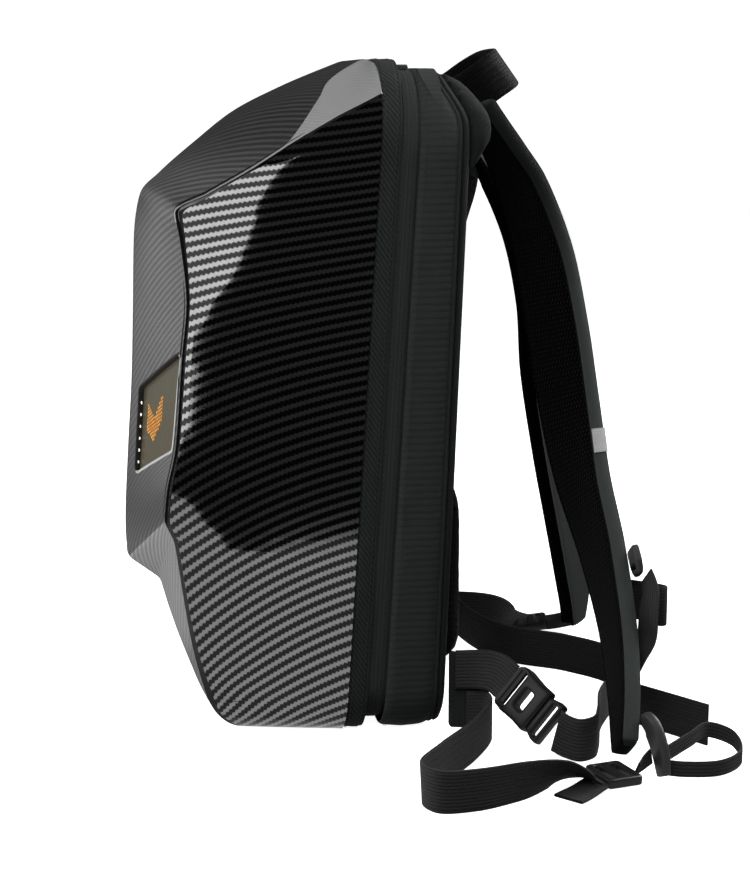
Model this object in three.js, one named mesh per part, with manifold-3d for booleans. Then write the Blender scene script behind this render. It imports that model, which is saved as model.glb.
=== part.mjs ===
// Hard-shell backpack for riders: a moulded carbon-look shell with two screen windows, a zipped
// soft body, a padded back and a harness of padded straps, webbing and buckles.
// Millimetres, +Z up, the shell's face towards -Y, the wearer's side towards +Y.
import * as THREE from "three";
import Module from "manifold-3d";

const wasm = await Module();
wasm.setup();

// Driving dimensions
const HEIGHT = 470;
const HALF_WIDTH = 155;
const TOP_RADIUS = 60;
const BASE_RADIUS = 34;
const BASE_CENTRE = 42;
const LEAN = 0.06;
const SHELL_WALL = 3;
const SCREEN_THICK = 3;
const SCREEN_LAP = 5;
const TAPE_WIDTH = 13;
const ZIP_BAND_WIDTH = 13.4;
const ZIP_WIDTH = 2.4;
const CLOTH = 2.6;
const BACK_THICK = 6;
const STRAP_WIDTH = 68;
const STRAP_THICK = 13;
const WEB_WIDE = 30;
const WEB_THICK = 2;
const SLACK_GAP = 0.4;
const BODY_DROP = 7;
const BAND_RAISE = 7;
const FACET_STEPS = 5;
const SIDE_STEPS = 7;
const OUTLINE_STEPS = 9;

// Finishes
const finish = (color, roughness, metalness = 0) => ({ color, roughness, metalness });
const CARBON = finish("#1b1c1d", 0.22);
const SCREEN = finish("#5d5b50", 0.4);
const TWILL = finish("#1e1f20", 0.9);
const CLOTH_BODY = finish("#1d2120", 0.88);
const ZIP = finish("#141515", 0.5);
const METAL = finish("#3c3d3e", 0.35, 0.8);
const MESH = finish("#121313", 0.95);
const BINDING = finish("#2c2f30", 0.8);
const WEBBING = finish("#161718", 0.8);
const PLASTIC = finish("#1a1b1c", 0.45);
const GREY_PLASTIC = finish("#3a3c3d", 0.5);
const REFLECTIVE = finish("#9a9a9a", 0.4, 0.2);

const root = new THREE.Group();
const bag = new THREE.Group();
bag.position.y = BASE_CENTRE;
root.add(bag);

const V = (x, y, z) => new THREE.Vector3(x, y, z);
const table = (names, rows) => rows.map((r) => Object.fromEntries(names.map((n, i) => [n, r[i]])));
const mix = (a, b, t) => a + (b - a) * t;

// A closed surface of points and triangles as a solid, turned to face out.
function solidOf(points, faces) {
  const build = (list) =>
    new wasm.Manifold(
      new wasm.Mesh({
        numProp: 3,
        vertProperties: new Float32Array(points.flatMap((p) => [p.x, p.y, p.z])),
        triVerts: new Uint32Array(list.flat()),
      }),
    );
  const made = build(faces);
  return made.volume() > 0 ? made : build(faces.map(([a, b, c]) => [a, c, b]));
}

function addSolid(name, solid, look) {
  const mesh = solid.getMesh();
  const geometry = new THREE.BufferGeometry();
  geometry.setAttribute("position", new THREE.BufferAttribute(new Float32Array(mesh.vertProperties), 3));
  geometry.setIndex(new THREE.BufferAttribute(new Uint32Array(mesh.triVerts), 1));
  geometry.computeVertexNormals();
  const node = new THREE.Mesh(geometry, new THREE.MeshStandardMaterial(look));
  node.name = name;
  bag.add(node);
  return node;
}

// Loops of equal length joined side by side, closed by fans at both ends or run round to the start.
function loft(loops, ring = false) {
  const n = loops[0].length;
  const points = loops.flat().map((p) => p.clone());
  const faces = [];
  const rows = ring ? loops.length : loops.length - 1;
  for (let i = 0; i < rows; i++) {
    const a = i * n;
    const b = ((i + 1) % loops.length) * n;
    for (let j = 0; j < n; j++) {
      const k = (j + 1) % n;
      faces.push([a + j, a + k, b + j], [a + k, b + k, b + j]);
    }
  }
  if (!ring) {
    const cap = (start, loop, flip) => {
      const centre = points.length;
      points.push(loop.reduce((s, p) => s.add(p), V(0, 0, 0)).divideScalar(n));
      for (let j = 0; j < n; j++) {
        const k = (j + 1) % n;
        faces.push(flip ? [centre, start + j, start + k] : [centre, start + k, start + j]);
      }
    };
    cap(0, loops[0], false);
    cap((loops.length - 1) * n, loops[loops.length - 1], true);
  }
  return solidOf(points, faces);
}

// The bag's outline seen from the front
const rimY = (z) => -3 + LEAN * z;
const zipY = (z) => rimY(z) + TAPE_WIDTH + ZIP_BAND_WIDTH;
const topTuck = (z) => {
  const t = Math.min(1, Math.max(0, (z - 424) / 36));
  return 13 * t * t * (3 - 2 * t);
};
const backY = (z) => 61 + 0.04 * z - topTuck(z);

// Points of the outline drawn in by an inset, with its base raised and its top lowered, anticlockwise
// from the middle of the base.
function outline(inset, floor = 0, drop = 0) {
  const w = HALF_WIDTH - inset;
  const low = floor + inset;
  const high = HEIGHT - drop - inset;
  const rb = Math.max(BASE_RADIUS - inset, 4);
  const rt = Math.max(TOP_RADIUS - inset, 4);
  const half = [V(0, 0, low)];
  const arc = (cx, cz, r, from, to) => {
    for (let i = 0; i <= OUTLINE_STEPS; i++) {
      const a = mix(from, to, i / OUTLINE_STEPS);
      half.push(V(cx + r * Math.cos(a), 0, cz + r * Math.sin(a)));
    }
  };
  arc(w - rb, low + rb, rb, -Math.PI / 2, 0);
  for (let i = 1; i < 6; i++) half.push(V(w, 0, mix(low + rb, high - rt, i / 6)));
  arc(w - rt, high - rt, rt, 0, Math.PI / 2);
  half.push(V(0, 0, high));
  const other = half.slice(1, -1).reverse().map((p) => V(-p.x, 0, p.z));
  return half.concat(other);
}

// A ring round the bag whose wall section is a closed list of inset and depth.
function ringWall(section, floor = 0, drop = 0) {
  const runs = section.map(([inset, y]) => outline(inset, floor, drop).map((p) => V(p.x, y(p.z), p.z)));
  const loops = runs[0].map((_, k) => runs.map((run) => run[k]));
  return loft(loops, true);
}

// A plate that fills the outline, as loops from its front to its back.
function plate(section, floor = 0, drop = 0) {
  return loft(section.map(([inset, y]) => outline(inset, floor, drop).map((p) => V(p.x, y(p.z), p.z))));
}

// Shell: each row runs from the ridge on the centre plane over the crease to the rear rim
const SHELL_ROWS = table(
  ["ridgeY", "ridgeZ", "creaseX", "creaseY", "creaseZ", "rimZ", "crown", "bulge"],
  [
    [-3, 0, 66, -3, 0, 0, 0, 0],
    [-42, 0, 98, -41, 0, 1, 0, 0],
    [-80, 0, 112, -78, 0, 4, 0, 2],
    [-97, 14, 113, -94, 15, 16, 2, 5],
    [-113, 50, 102, -105.2, 57.2, 58, 2, 8],
    [-123, 84, 92, -116.4, 132.6, 128, 2, 10],
    [-147, 102, 94, -123.4, 147.8, 144, 1, 10],
    [-148, 126, 98, -121.4, 169.6, 166, 1, 10],
    [-145, 183, 104, -115.2, 201.7, 202, 1, 10],
    [-141, 240, 109, -110, 265, 262, 1, 9],
    [-139, 290, 107, -106, 306, 305, 2, 9],
    [-137, 345, 97, -109, 345, 348, 3, 8],
    [-132, 374, 97, -112.2, 365.2, 372, 4, 7],
    [-118, 389, 110, -90.6, 378.4, 392, 5, 6],
    [-92, 411, 122, -62, 395.4, 410, 7, 5],
    [-62, 433, 131, -31.3, 415.3, 424, 9, 3],
    [-26, 449, 138, -1.3, 433, 434, 10, 1],
    [4, 460, 143, 12.1, 440, 439, 11, 0],
    [25.2, 470, 143, 23.8, 446, 442, 0, 0],
  ],
);

const rimX = (z) => {
  if (z < BASE_RADIUS) return HALF_WIDTH - BASE_RADIUS + Math.sqrt(BASE_RADIUS ** 2 - (BASE_RADIUS - z) ** 2);
  const over = z - (HEIGHT - TOP_RADIUS);
  if (over > 0) return HALF_WIDTH - TOP_RADIUS + Math.sqrt(Math.max(TOP_RADIUS ** 2 - over ** 2, 0));
  return HALF_WIDTH;
};

// The point a given way along the rim from the middle of its top to a height on its corner.
function topRim(t, z) {
  const flat = HALF_WIDTH - TOP_RADIUS;
  const end = Math.asin((z - HEIGHT + TOP_RADIUS) / TOP_RADIUS);
  const s = t * (flat + TOP_RADIUS * (Math.PI / 2 - end));
  if (s <= flat) return V(s, rimY(HEIGHT), HEIGHT);
  const a = Math.PI / 2 - (s - flat) / TOP_RADIUS;
  const height = HEIGHT - TOP_RADIUS + TOP_RADIUS * Math.sin(a);
  return V(flat + TOP_RADIUS * Math.cos(a), rimY(height), height);
}

// One half row of the shell's outer face, from the centre plane to the rim.
function shellRow(i) {
  const r = SHELL_ROWS[i];
  const last = SHELL_ROWS.length - 1;
  const before = SHELL_ROWS[Math.max(i - 1, 0)];
  const after = SHELL_ROWS[Math.min(i + 1, last)];
  const along = V(0, after.ridgeY - before.ridgeY, after.ridgeZ - before.ridgeZ).normalize();
  const out = V(0, -along.z, along.y);
  const ridge = V(0, r.ridgeY, r.ridgeZ);
  const crease = V(r.creaseX, r.creaseY, r.creaseZ);
  const rim = V(rimX(r.rimZ), rimY(r.rimZ), r.rimZ);
  const row = [];
  for (let j = 0; j <= FACET_STEPS; j++) {
    const t = j / FACET_STEPS;
    if (i === last) row.push(topRim(t, r.creaseZ));
    else row.push(ridge.clone().lerp(crease, t).addScaledVector(out, r.crown * 4 * t * (1 - t)));
  }
  const start = row[FACET_STEPS].clone();
  const side = V(rim.y - start.y, start.x - rim.x, 0).normalize();
  for (let j = 1; j <= SIDE_STEPS; j++) {
    const t = j / SIDE_STEPS;
    row.push(start.clone().lerp(rim, t).addScaledVector(side, r.bulge * 4 * t * (1 - t)));
  }
  return row;
}

const SHELL_FACE = SHELL_ROWS.map((_, i) => {
  const half = shellRow(i);
  const other = half.slice(1).reverse().map((p) => V(-p.x, p.y, p.z));
  return other.concat(half);
});

// The shell's face moved inwards along its normals, with the rim kept on the rim's plane.
function shellFace(depth) {
  const rows = SHELL_FACE.length;
  const columns = SHELL_FACE[0].length;
  const normals = SHELL_FACE.map((row) => row.map(() => V(0, 0, 0)));
  for (let i = 0; i + 1 < rows; i++) {
    for (let j = 0; j + 1 < columns; j++) {
      const a = SHELL_FACE[i][j];
      const d1 = SHELL_FACE[i + 1][j + 1].clone().sub(a);
      const d2 = SHELL_FACE[i + 1][j].clone().sub(SHELL_FACE[i][j + 1]);
      const n = d1.cross(d2);
      [[i, j], [i + 1, j], [i, j + 1], [i + 1, j + 1]].forEach(([p, q]) => normals[p][q].add(n));
    }
  }
  return SHELL_FACE.map((row, i) =>
    row.map((p, j) => {
      const q = p.clone().addScaledVector(normals[i][j].normalize(), -depth);
      const onRim = i === 0 || i === rows - 1 || j === 0 || j === columns - 1;
      if (onRim) q.y = rimY(q.z);
      return q;
    }),
  );
}

function shellSlab(from, to) {
  const outer = shellFace(from);
  const inner = shellFace(to);
  const rows = outer.length;
  const columns = outer[0].length;
  const points = outer.flat().concat(inner.flat());
  const at = (layer, i, j) => layer * rows * columns + i * columns + j;
  const faces = [];
  const quad = (a, b, c, d) => faces.push([a, b, c], [a, c, d]);
  for (let i = 0; i + 1 < rows; i++) {
    for (let j = 0; j + 1 < columns; j++) {
      quad(at(0, i, j), at(0, i, j + 1), at(0, i + 1, j + 1), at(0, i + 1, j));
      quad(at(1, i, j), at(1, i + 1, j), at(1, i + 1, j + 1), at(1, i, j + 1));
    }
  }
  for (let j = 0; j + 1 < columns; j++) {
    quad(at(0, 0, j), at(1, 0, j), at(1, 0, j + 1), at(0, 0, j + 1));
    quad(at(0, rows - 1, j), at(0, rows - 1, j + 1), at(1, rows - 1, j + 1), at(1, rows - 1, j));
  }
  for (let i = 0; i + 1 < rows; i++) {
    quad(at(0, i, 0), at(0, i + 1, 0), at(1, i + 1, 0), at(1, i, 0));
    quad(at(0, i, columns - 1), at(1, i, columns - 1), at(1, i + 1, columns - 1), at(0, i + 1, columns - 1));
  }
  return solidOf(points, faces);
}

// Screen windows, one on each side of the centre ridge
const WINDOW = table(
  ["x", "z"],
  [
    [22, 170],
    [104, 202],
    [104, 268],
    [22, 233],
  ],
);

// A prism through the face whose corners are pushed out by a margin.
function windowPrism(side, grow) {
  const cx = WINDOW.reduce((s, p) => s + p.x, 0) / WINDOW.length;
  const cz = WINDOW.reduce((s, p) => s + p.z, 0) / WINDOW.length;
  const at = (y) => WINDOW.map((p) => V(side * (p.x + grow * Math.sign(p.x - cx)), y, p.z + grow * Math.sign(p.z - cz)));
  return loft([at(-200), at(-70)]);
}

let shell = shellSlab(0, SHELL_WALL);
for (const side of [1, -1]) shell = shell.subtract(windowPrism(side, 0));
addSolid("shell", shell, CARBON);
for (const [side, name] of [[1, "right"], [-1, "left"]]) {
  const slab = shellSlab(SHELL_WALL + SLACK_GAP, SHELL_WALL + SLACK_GAP + SCREEN_THICK);
  addSolid("screen_" + name, slab.intersect(windowPrism(side, SCREEN_LAP)), SCREEN);
}

// Soft body: rings of cloth from the shell's rim back to the back panel
const wall = (from, to, inset, thick) => [
  [inset, from],
  [inset, to],
  [inset + thick, to],
  [inset + thick, from],
];
const after = (y, d) => (z) => y(z) + d;
addSolid("rim_tape", ringWall(wall(after(rimY, SLACK_GAP), after(rimY, TAPE_WIDTH), 1, CLOTH)), TWILL);
addSolid(
  "zip_band",
  ringWall(wall(after(rimY, TAPE_WIDTH + SLACK_GAP), after(zipY, -ZIP_WIDTH / 2 - SLACK_GAP), 2, CLOTH), BAND_RAISE, BODY_DROP),
  CLOTH_BODY,
);
addSolid(
  "zip_teeth",
  ringWall(wall(after(zipY, -ZIP_WIDTH / 2), after(zipY, ZIP_WIDTH / 2), 2, 3), BAND_RAISE, BODY_DROP),
  ZIP,
);
addSolid(
  "rear_gusset",
  ringWall([
    [0.5, after(zipY, ZIP_WIDTH / 2 + SLACK_GAP)],
    [0, after(zipY, 8)],
    [0, after(backY, -7)],
    [2, after(backY, -2)],
    [5, backY],
    [5 + CLOTH, backY],
    [CLOTH + 1, after(zipY, 8)],
    [CLOTH + 1, after(zipY, ZIP_WIDTH / 2 + SLACK_GAP)],
  ], 0, BODY_DROP),
  CLOTH_BODY,
);
addSolid(
  "back_panel",
  plate([
    [60, after(backY, 2 * SLACK_GAP)],
    [14, after(backY, 2 * SLACK_GAP)],
    [4, after(backY, 2 * SLACK_GAP)],
    [2, after(backY, 2)],
    [3, after(backY, 4.4)],
    [7, after(backY, BACK_THICK)],
    [30, after(backY, BACK_THICK)],
    [60, after(backY, BACK_THICK)],
  ], 0, BODY_DROP),
  CLOTH_BODY,
);

// A pad on the back panel: a rounded outline that domes away from the panel.
function pad(x0, x1, z0, z1, radius, low, high) {
  const face = after(backY, BACK_THICK + SLACK_GAP);
  const loop = (inset, rise) => {
    const w = (x1 - x0) / 2 - inset;
    const h = (z1 - z0) / 2 - inset;
    const r = Math.max(radius - inset, 3);
    const points = [];
    for (let q = 0; q < 4; q++) {
      const sx = q === 0 || q === 3 ? 1 : -1;
      const sz = q < 2 ? 1 : -1;
      for (let i = 0; i <= 5; i++) {
        const a = (q + i / 5) * (Math.PI / 2);
        const x = (x0 + x1) / 2 + sx * (w - r) + r * Math.cos(a);
        const z = (z0 + z1) / 2 + sz * (h - r) + r * Math.sin(a);
        points.push(V(x, face(z) + rise * mix(low, high, (z - z0) / (z1 - z0)), z));
      }
    }
    return points;
  };
  return loft([loop(2, 0), loop(0, 0.35), loop(2, 0.68), loop(8, 0.92), loop(18, 1)]);
}
addSolid("upper_pad_right", pad(16, 122, 226, 384, 26, 9, 18), MESH);
addSolid("upper_pad_left", pad(-122, -16, 226, 384, 26, 9, 18), MESH);
addSolid("lumbar_pad", pad(-122, 122, 40, 172, 30, 20, 15), MESH);

// Yoke: the padded roll across the top of the back that the straps and the handle leave from
const YOKE_FOOT = 395;
const YOKE_DEPTH = table(
  ["rise", "deep"],
  [
    [0, 4],
    [0.15, 6.8],
    [0.4, 11.8],
    [0.63, 16.6],
    [0.73, 17],
    [0.85, 15.4],
    [0.94, 12],
    [1, 6],
  ],
);
const YOKE_STATIONS = table(
  ["x", "share"],
  [
    [150, 0.55],
    [147.5, 0.9],
    [143, 1],
    [134, 1],
    [122, 1],
    [109, 1],
    [95, 1],
  ],
);
function yoke() {
  const lie = after(backY, BACK_THICK + 3 * SLACK_GAP);
  const at = (x, share) => {
    const corner = Math.max(0, Math.abs(x) - (HALF_WIDTH - TOP_RADIUS));
    const top = HEIGHT - BODY_DROP - TOP_RADIUS + Math.sqrt((TOP_RADIUS - 3) ** 2 - corner ** 2);
    const high = (rise) => mix(YOKE_FOOT, top, rise);
    const rear = YOKE_DEPTH.map((p) => V(x, lie(high(p.rise)) + p.deep * share, high(p.rise)));
    const front = [1, 0.85, 0.7, 0.58, 0.48, 0.38, 0].map((rise) => V(x, lie(high(rise)), high(rise)));
    return [...rear, ...front];
  };
  const left = YOKE_STATIONS.map((p) => at(-p.x, p.share));
  const right = YOKE_STATIONS.map((p) => at(p.x, p.share)).reverse();
  return loft([...left, ...right]);
}
addSolid("yoke", yoke(), CLOTH_BODY);

// A strap or webbing: a flat section swept along a smooth path that turns with its across direction.
const PATH = ["x", "y", "z", "ax", "ay", "az"];
function frames(rows, steps) {
  const stations = table(PATH, rows);
  const curve = new THREE.CatmullRomCurve3(stations.map((s) => V(s.x, s.y, s.z)), false, "centripetal");
  const total = (stations.length - 1) * steps;
  const list = [];
  for (let i = 0; i <= total; i++) {
    const t = i / total;
    const k = Math.min(Math.floor(i / steps), stations.length - 2);
    const f = i / steps - k;
    const a = stations[k];
    const b = stations[k + 1];
    const hint = V(mix(a.ax, b.ax, f), mix(a.ay, b.ay, f), mix(a.az, b.az, f));
    const along = curve.getTangent(t);
    const across = hint.addScaledVector(along, -hint.dot(along)).normalize();
    list.push({ t, point: curve.getPoint(t), along, across, normal: along.clone().cross(across) });
  }
  return list;
}

function band(rows, width, thick, steps = 6, round = 0, taper = () => 1) {
  const half = thick / 2;
  const edge = round ? half : 0;
  const section = [];
  if (round) {
    for (let q = 0; q < 2; q++) {
      for (let i = 0; i <= round; i++) {
        const a = -Math.PI / 2 + Math.PI * (q + i / round);
        section.push([(q ? -1 : 1) * (width / 2 - edge) + edge * Math.cos(a), half * Math.sin(a)]);
      }
    }
  } else section.push([width / 2, -half], [width / 2, half], [-width / 2, half], [-width / 2, -half]);
  const loops = frames(rows, steps).map((f) => {
    const w = taper(f.t);
    return section.map(([u, v]) => f.point.clone().addScaledVector(f.across, u * w).addScaledVector(f.normal, v));
  });
  return loft(loops);
}

// Shoulder straps: the near one splays out to the right, the far one falls towards the middle
const STRAP_RIGHT = [
  [74, 105.5, 436, 1, 0.04, 0],
  [75, 112.2, 424, 1, 0.08, 0],
  [77, 122.5, 406, 1, 0.15, 0],
  [79, 134, 384, 1, 0.26, 0],
  [84, 149.5, 338, 1, 0.36, 0],
  [92, 159, 284, 1, 0.4, 0.05],
  [104, 165.5, 230, 1, 0.38, 0.1],
  [122, 172, 178, 1, 0.26, 0.15],
  [148, 181, 128, 1, 0.12, 0.2],
  [180, 184, 82, 1, 0.02, 0.3],
  [213, 180, 45, 1, 0, 0.3],
  [238, 174, 16, 1, 0, 0.3],
];
const STRAP_LEFT = [
  [-74, 105.5, 436, -1, 0.04, 0],
  [-75, 113, 424, -1, 0.12, 0],
  [-77, 126, 406, -1, 0.25, 0],
  [-79, 143, 384, -1, 0.42, 0],
  [-82, 166, 338, -1, 0.55, 0],
  [-85, 181, 284, -1, 0.6, 0],
  [-88, 191, 228, -1, 0.65, 0],
  [-90, 201, 168, -1, 0.7, 0],
  [-92, 210, 108, -1, 0.75, 0],
  [-93, 217, 60, -1, 0.75, 0],
  [-94, 221, 32, -1, 0.75, 0],
  [-94.5, 223, 11, -1, 0.75, 0],
];
const strapTaper = (t) => mix(1, 0.42, Math.max(0, (t - 0.68) / 0.32) ** 1.5);
addSolid("shoulder_strap_right", band(STRAP_RIGHT, STRAP_WIDTH, STRAP_THICK, 4, 4, strapTaper), MESH);
addSolid("shoulder_strap_left", band(STRAP_LEFT, STRAP_WIDTH, STRAP_THICK, 4, 4, strapTaper), MESH);

// Grab handle: a webbing loop that stands off the slope of the yoke
const HANDLE = [
  [30, 98, 446, 0, 0.59, -0.81],
  [34, 111.5, 453.5, 0, 0.59, -0.81],
  [34, 124.5, 461, 0, 0.59, -0.81],
  [28, 136, 468.5, 0, 0.59, -0.81],
  [0, 141, 472, 0, 0.59, -0.81],
  [-28, 136, 468.5, 0, 0.59, -0.81],
  [-34, 124.5, 461, 0, 0.59, -0.81],
  [-34, 111.5, 453.5, 0, 0.59, -0.81],
  [-30, 98, 446, 0, 0.59, -0.81],
];
addSolid("grab_handle", band(HANDLE, 32, 3.6, 4), WEBBING);

// A block with broken edges, set by its middle, the way it runs and the way its width lies.
function block(middle, along, across, length, width, thick, edge = 1) {
  const a = V(...along).normalize();
  const c = V(...across);
  c.addScaledVector(a, -c.dot(a)).normalize();
  const n = a.clone().cross(c);
  const loop = (s, w, h) => {
    const e = Math.min(edge, w / 3, h / 3);
    const corners = [
      [w - e, h],
      [w, h - e],
      [w, -h + e],
      [w - e, -h],
      [-w + e, -h],
      [-w, -h + e],
      [-w, h - e],
      [-w + e, h],
    ];
    return corners.map(([u, v]) =>
      V(...middle).addScaledVector(a, s).addScaledVector(c, u).addScaledVector(n, v),
    );
  };
  const l = length / 2;
  const w = width / 2;
  const h = thick / 2;
  return loft([loop(-l, w - edge, h - edge * 0.5), loop(-l + edge, w, h), loop(l - edge, w, h), loop(l, w - edge, h - edge * 0.5)]);
}

// Reflective tabs on the straps' outer walls
for (const [rows, side] of [[STRAP_RIGHT, "right"], [STRAP_LEFT, "left"]]) {
  const f = frames(rows, 8)[53];
  const p = f.point.clone().addScaledVector(f.across, STRAP_WIDTH / 2 + 1.2);
  addSolid("reflective_tab_" + side, block(p.toArray(), f.along.toArray(), f.normal.toArray(), 17, 11, 1.6, 0.4), REFLECTIVE);
}

// Wings: cloth corners low on the back that hold the belt and the strap adjusters
const WING = table(
  ["y", "z"],
  [
    [72, 60],
    [72, 4],
    [98, 2],
    [101, 30],
    [97, 52],
  ],
);
for (const [side, name] of [[1, "right"], [-1, "left"]]) {
  const at = (x) => WING.map((p) => V(side * x, p.y, p.z));
  addSolid("wing_" + name, loft([at(144), at(147)]), CLOTH_BODY);
}

// Strap adjusters: webbing on its edge on the floor from each wing to the lock under its strap
const ADJUSTER_RIGHT = [
  [148.6, 84, 15.4, 0, 0, 1],
  [150.6, 97, 15.4, 0, 0, 1],
  [166, 98, 15.4, 0, 0, 1],
  [208, 78, 15.4, 0, 0, 1],
  [254, 46, 15.4, 0, 0, 1],
  [288, 27, 15.4, 0.1, -0.1, 1],
  [305, 35, 15.4, 0.15, 0, 1],
  [305, 60, 15.4, 0.1, 0.1, 1],
  [294, 92, 15.4, 0.2, 0.1, 1],
  [281, 118, 13.6, 0.6, 0.2, 0.8],
  [273.4, 134, 9, 1, 0.2, 0.3],
  [271.6, 141.6, 7.4, 1, 0.25, 0.06],
];
const ADJUSTER_LEFT = [
  [-142.6, 82, 16, 0, 0, 1],
  [-141, 100, 15.4, 0, 0, 1],
  [-132, 122, 15.4, 0, 0, 1],
  [-124, 144, 15.4, 0, 0, 1],
  [-113, 163, 14, -0.6, 0.2, 0.9],
  [-105, 173, 10, -1, 0.2, 0.4],
];
addSolid("adjuster_right", band(ADJUSTER_RIGHT, WEB_WIDE, WEB_THICK, 4), WEBBING);
addSolid("adjuster_left", band(ADJUSTER_LEFT, WEB_WIDE, WEB_THICK, 4), WEBBING);

// Ladder locks under the straps, with two slots each
function ladderLock(middle, along, across) {
  const place = (s) => V(...middle).addScaledVector(V(...along).normalize(), s).toArray();
  let lock = block(middle, along, across, 26, 34, 7, 1.5);
  for (const s of [-6, 6]) lock = lock.subtract(block(place(s), along, across, 5, 25, 20, 0.2));
  return lock;
}
addSolid("ladder_lock_right", ladderLock([268, 158, 6.8], [-0.25, 1, 0], [1, 0.25, 0]), PLASTIC);
addSolid("ladder_lock_left", ladderLock([-98, 190, 9], [0.2, 1, 0.15], [-1, 0.2, 0]), PLASTIC);
const FREE_TAB = [
  [283, 151, 1.4, 1, 0.2, 0],
  [288, 137, 1.4, 1, 0.2, 0],
  [293, 122, 1.4, 1, 0.2, 0],
];
addSolid("adjuster_tab_right", band(FREE_TAB, 24, WEB_THICK, 4), WEBBING);

// Waist belt: webbing from the right wing through the closed buckle, round the floor, to the left wing
const BELT_RIGHT = [
  [148.6, 76, 46.5, 0, 0.3, 1],
  [150.4, 92, 46.5, 0, 0.3, 1],
  [155, 103, 45.5, -0.2, 0.4, 1],
  [162.4, 110.6, 40, -0.3, 0.4, 1],
];
const BUCKLE_FROM = [164, 112, 39];
const BUCKLE_TO = [203, 133, 19];
const BELT_LEFT = [
  [206.5, 135, 17.6, -0.1, 0.1, 1],
  [214, 139.6, 16, -0.05, 0.05, 1],
  [222, 147, 15.4, 0, 0, 1],
  [217, 158, 15.4, 0, 0, 1],
  [196, 167, 15.4, 0, 0, 1],
  [160, 178, 15.4, 0, 0, 1],
  [105, 204, 15.4, 0, 0, 1],
  [55, 215, 15.4, 0, 0, 1],
  [15, 190, 15.4, 0, 0, 1],
  [-20, 150, 15.4, 0, 0, 1],
  [-75, 126, 20, 0, 0, 1],
  [-120, 113, 40, 0, 0, 1],
  [-136.6, 100, 47, 0, 0, 1],
  [-142.4, 80, 47, 0, 0, 1],
];
const BELT_TAIL = [
  [142, 203, 15.4, 0, 0, 1],
  [168, 220, 15.4, 0, 0, 1],
  [204, 243, 15.4, 0, 0, 1],
];
addSolid("belt_right", band(BELT_RIGHT, 28, WEB_THICK, 4), WEBBING);
addSolid("belt_left", band(BELT_LEFT, WEB_WIDE, WEB_THICK, 4), WEBBING);
addSolid("belt_tail", band(BELT_TAIL, WEB_WIDE, WEB_THICK, 3), WEBBING);

// Side-release buckle: a socket with a see-through window and the tongue plugged into it
const from = V(...BUCKLE_FROM);
const to = V(...BUCKLE_TO);
const run = to.clone().sub(from);
const reach = run.length();
const way = run.clone().normalize().toArray();
const rise = V(-0.3, 0.4, 1);
const up = rise.addScaledVector(run, -rise.dot(run) / reach ** 2).normalize().toArray();
const along = (t) => from.clone().addScaledVector(run, t / reach).toArray();
let socket = block(along(17.3), way, up, 32.6, 35, 10, 2);
socket = socket.subtract(block(along(24.7), way, up, 20, 24, 5.4, 0.2));
socket = socket.subtract(block(along(19.5), way, up, 8, 15, 30, 0.2));
socket = socket.subtract(block(along(6), way, up, 7, 29, 30, 0.2));
let tongue = block(along(reach - 7.6), way, up, 14, 33, 8, 1.5);
tongue = tongue.subtract(block(along(reach - 7), way, up, 5, 27, 30, 0.2));
for (const s of [-1, 1]) {
  const prong = V(...along(25)).addScaledVector(V(...up), s * 9.8).toArray();
  tongue = tongue.add(block(prong, way, up, 19, 4, 4, 0.6));
}
addSolid("buckle_socket", socket, PLASTIC);
addSolid("buckle_tongue", tongue, PLASTIC);

// Chest strap: a slider on the right strap and the webbing that hangs from it
const CHEST_WEB = [
  [191, 200.6, 120, 0.95, 0.1, 0.1],
  [203, 204.6, 110, 0.93, 0.25, 0.1],
  [210, 208, 96, 0.9, 0.4, 0.1],
  [212, 208.5, 80, 0.9, 0.4, 0],
  [208, 203, 66, 0.93, 0.25, 0],
  [203, 196, 55, 0.95, 0, 0],
];
const CHEST_LOOP = [
  [166, 193, 98, 0, 0, 1],
  [176, 205, 98, 0, 0, 1],
  [184, 213, 98, 0, 0, 1],
  [189.5, 215.5, 98, 0, 0, 1],
  [192, 212.5, 98, 0, 0, 1],
  [189, 206.5, 98, 0, 0, 1],
];
addSolid("chest_slider", block([181, 195.6, 128], [0.45, 0.12, -0.88], [0.9, -0.1, 0.4], 20, 24, 5, 1.5), GREY_PLASTIC);
addSolid("chest_webbing", band(CHEST_WEB, 20, 1.6, 4), WEBBING);
addSolid("chest_loop", band(CHEST_LOOP, 28, 1.6, 4), WEBBING);

// Cam lever and its narrow tail loop beyond the right strap
const TAIL_LOOP = [
  [256, 196, 14, 0, 0, 1],
  [240, 218, 18, 0, 0, 1],
  [221, 238, 18, 0, 0, 1],
  [226, 253, 13, 0, 0, 1],
  [248, 252, 8, 0, 0, 1],
  [265, 232, 6.4, 0, 0, 1],
  [264, 207, 6.4, 0, 0, 1],
  [260, 198, 6.4, 0, 0, 1],
];
const LINK = [
  [256.5, 186.6, 14, 0.3, 0, 1],
  [260, 180, 10.4, 0.4, 0, 0.9],
  [264, 174.8, 8, 0.6, 0, 0.7],
];
const LEVER = [
  [243, 186, 36, 1, 0.2, 0],
  [251, 189, 31, 1, 0.2, 0],
  [259, 192, 18, 1, 0.2, 0],
  [265, 193, 4, 1, 0.2, 0],
];
addSolid("cam_lever", band(LEVER, 16, 5, 3, 3), GREY_PLASTIC);
addSolid("tail_loop", band(TAIL_LOOP, 11, 1.6, 4), WEBBING);
addSolid("tail_link", band(LINK, 14, 1.6, 4), WEBBING);

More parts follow.
